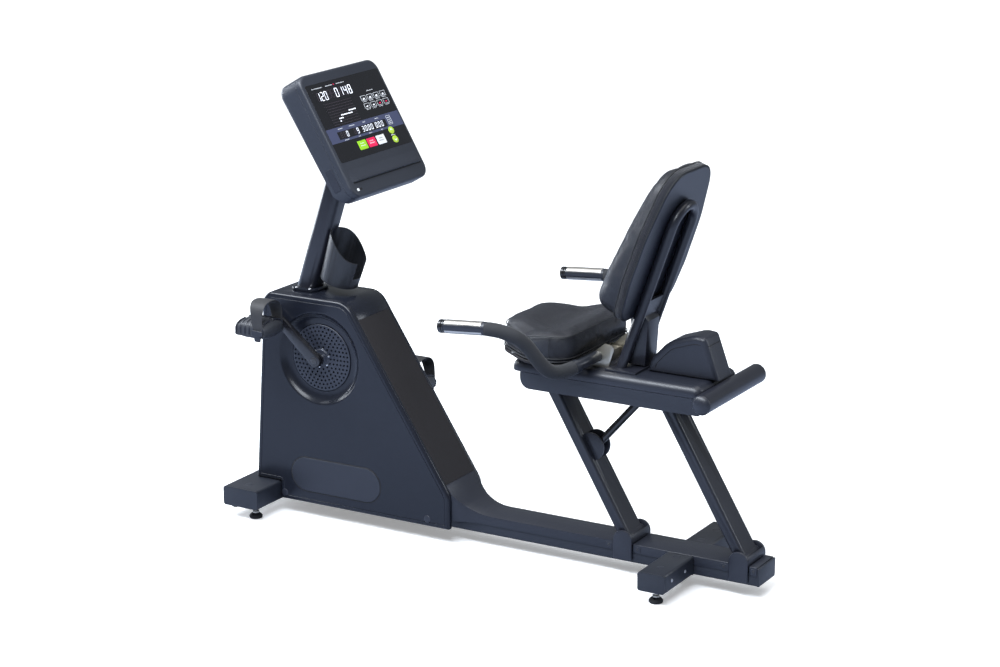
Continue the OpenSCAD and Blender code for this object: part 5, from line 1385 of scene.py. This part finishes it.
def make_marks():
    """Screws, plugs and caps along the rail, the stabilisers and the mast foot."""
    screw = revolve([(0, 0.4), (2, 0.4), (2.4, 1.2), (4.2, 1.2), (5, 0.4), (5, -1)], 20)
    plug = revolve([(0, 0.7), (9, 0.7), (10.4, 0.4), (11, 0), (11, -1)], 28)
    bright, dull, dark = Shape(), Shape(), Shape()
    top_front, top_rear = corner("front_stabiliser", "z", 1), corner("rear_stabiliser", "z", 1)
    mid_front = (corner("front_stabiliser", "x", 0) + corner("front_stabiliser", "x", 1)) / 2
    mid_rear = (corner("rear_stabiliser", "x", 0) + corner("rear_stabiliser", "x", 1)) / 2
    rear_face = corner("rear_stabiliser", "x", 1)
    half = corner("rear_stabiliser", "y", 1)
    for side in (-1, 1):
        for x, y, z in ((mid_front, side * (half - 60), top_front), (mid_rear, side * (half - 52), top_rear),
                        (mid_rear, side * (half - 150), top_rear)):
            dull.join(Shape().join(plug).moved(lambda a, b, c, x=x, y=y, z=z: (x + a, y + b, z + c)))
        for y in (half - 40, half - 120):
            bright.join(Shape().join(screw).moved(
                lambda a, b, c, y=y: (rear_face + c, side * y + a, top_rear - 26 + b)))
    deck_half = corner("rear_deck_cover", "y", 1)
    deck_low, deck_high = corner("rear_deck_cover", "z", 0), corner("rear_deck_cover", "z", 1)
    front_x, rear_x = corner("lower_pivot_pins", "x", 0) + 8, corner("lower_pivot_pins", "x", 1) - 8
    for side in (-1, 1):
        for x in (front_x - 44, front_x + 44, rear_x - 44, rear_x + 44):
            tab = slab(rectangle(x - 9, x + 9, deck_low + 4, deck_high - 6, 2), -1, 0.9, 0.6, 3)
            dull.join(tab.moved(lambda a, b, c: (a, side * (deck_half + c), b)))
            dark.join(Shape().join(screw).moved(lambda a, b, c, x=x: (x + a * 0.8, side * (deck_half + 0.6 + c),
                                                                      deck_low + 13 + b * 0.8)))
    trough = Shape()
    trough_low, trough_high, turns = -40, 34, 14  # ends short of the leg at the top of its swing
    pin_z = (corner("lower_pivot_pins", "z", 0) + corner("lower_pivot_pins", "z", 1)) / 2
    for pin_x in (front_x, rear_x):
        rows = []
        for k in range(turns + 1):
            a = math.radians(trough_low + (trough_high - trough_low) * k / turns)
            rows.append([(pin_x + r * math.cos(a), y, pin_z + r * math.sin(a))
                         for r, y in ((26, -53.0), (29, -53.0), (29.6, -51), (29.6, 51), (29, 53.0), (26, 53.0))])
        trough.loft(rows)
    piece("leg_troughs", trough, "deck_plastic", "base", "deck_plastic")
    foot_x = (corner("mast_collar", "x", 0) + corner("mast_collar", "x", 1)) / 2
    collar_half = corner("mast_collar", "y", 1)
    for side in (-1, 1):
        for x in (foot_x - 20, foot_x + 26):
            bright.join(Shape().join(screw).moved(
                lambda a, b, c, x=x: (x + a, side * (collar_half - 7) + b, corner("mast_collar", "z", 1) + c)))
    piece("bright_screws", bright, "bright_steel", "base", "bright_steel")
    piece("cover_plugs", dull, "deck_plastic", "base", "deck_plastic")
    piece("dark_screws", dark, "black_bolt", "base", "crank_paint")


# ---------- pieces that keep their CAD shape ----------

def dress_hard_parts():
    """Metal and moulded parts whose corners are rounded: finish, and the radius in millimetres."""
    rounded = {
        "base_rail": ("rail_paint", 2.5), "front_stabiliser": ("foot_paint", 4.5),
        "rear_stabiliser": ("foot_paint", 4.5), "tube_end_caps": ("foot_paint", 2.0),
        "front_deck_cover": ("deck_plastic", 5.0), "rear_deck_cover": ("deck_plastic", 5.0),
        "pivot_housings": ("deck_plastic", 3.8), "spine_cover": ("casing_plastic", 1.2),
        "rear_panel": ("panel_plastic", 1.2), "mast": ("leg_paint", 1.2), "mast_collar": ("casing_plastic", 2.5),
        "bottle_holder": ("cup_plastic", 1.2), "front_leg": ("leg_paint", 2.0), "rear_leg": ("leg_paint", 2.0),
        "carriage_frame": ("rail_paint", 2.5), "seat_frame": ("zinc_plate", 1.0),
        "release_lever": ("strut_black", 1.2), "back_frame": ("leg_paint", 1.5),
        "strut_cylinder": ("strut_black", 1.0),
    }
    for node, (material, edge) in rounded.items():
        dressed(node, material, edge)


def coat_the_rest():
    """Small and hidden parts that keep their mesh as it is."""
    plain = {
        "lower_pivot_pins": "bright_steel", "upper_pivot_pins": "bright_steel", "drive_frame": "rail_paint",
        "crank_bearings": "bright_steel", "drive_belt": "belt_rubber", "crank_axle": "bright_steel",
        "drive_pulley": "disc_plastic", "flywheel": "bright_steel", "console_board": "board_green",
        "strut_rod": "bright_steel", "transport_wheel_left": "foot_rubber", "transport_wheel_right": "foot_rubber",
    }
    for node, material in plain.items():
        coated(node, material)


make_camera()
make_studio()
make_seat_cushion()
make_back_cushion()
make_back_shell()
make_handlebar(-1, "left")
make_handlebar(1, "right")
for side, name in ((-1, "left"), (1, "right")):
    make_side_panel(side, name)
    make_perforated_disc(side, name)
    make_disc_shade_backing(side, name)
    make_pedal(side, name)
    make_crank(side, name)
make_badge()
make_console_body()
make_display()
make_carriage_covers()
make_levelling_feet()
make_marks()
dress_hard_parts()
coat_the_rest()
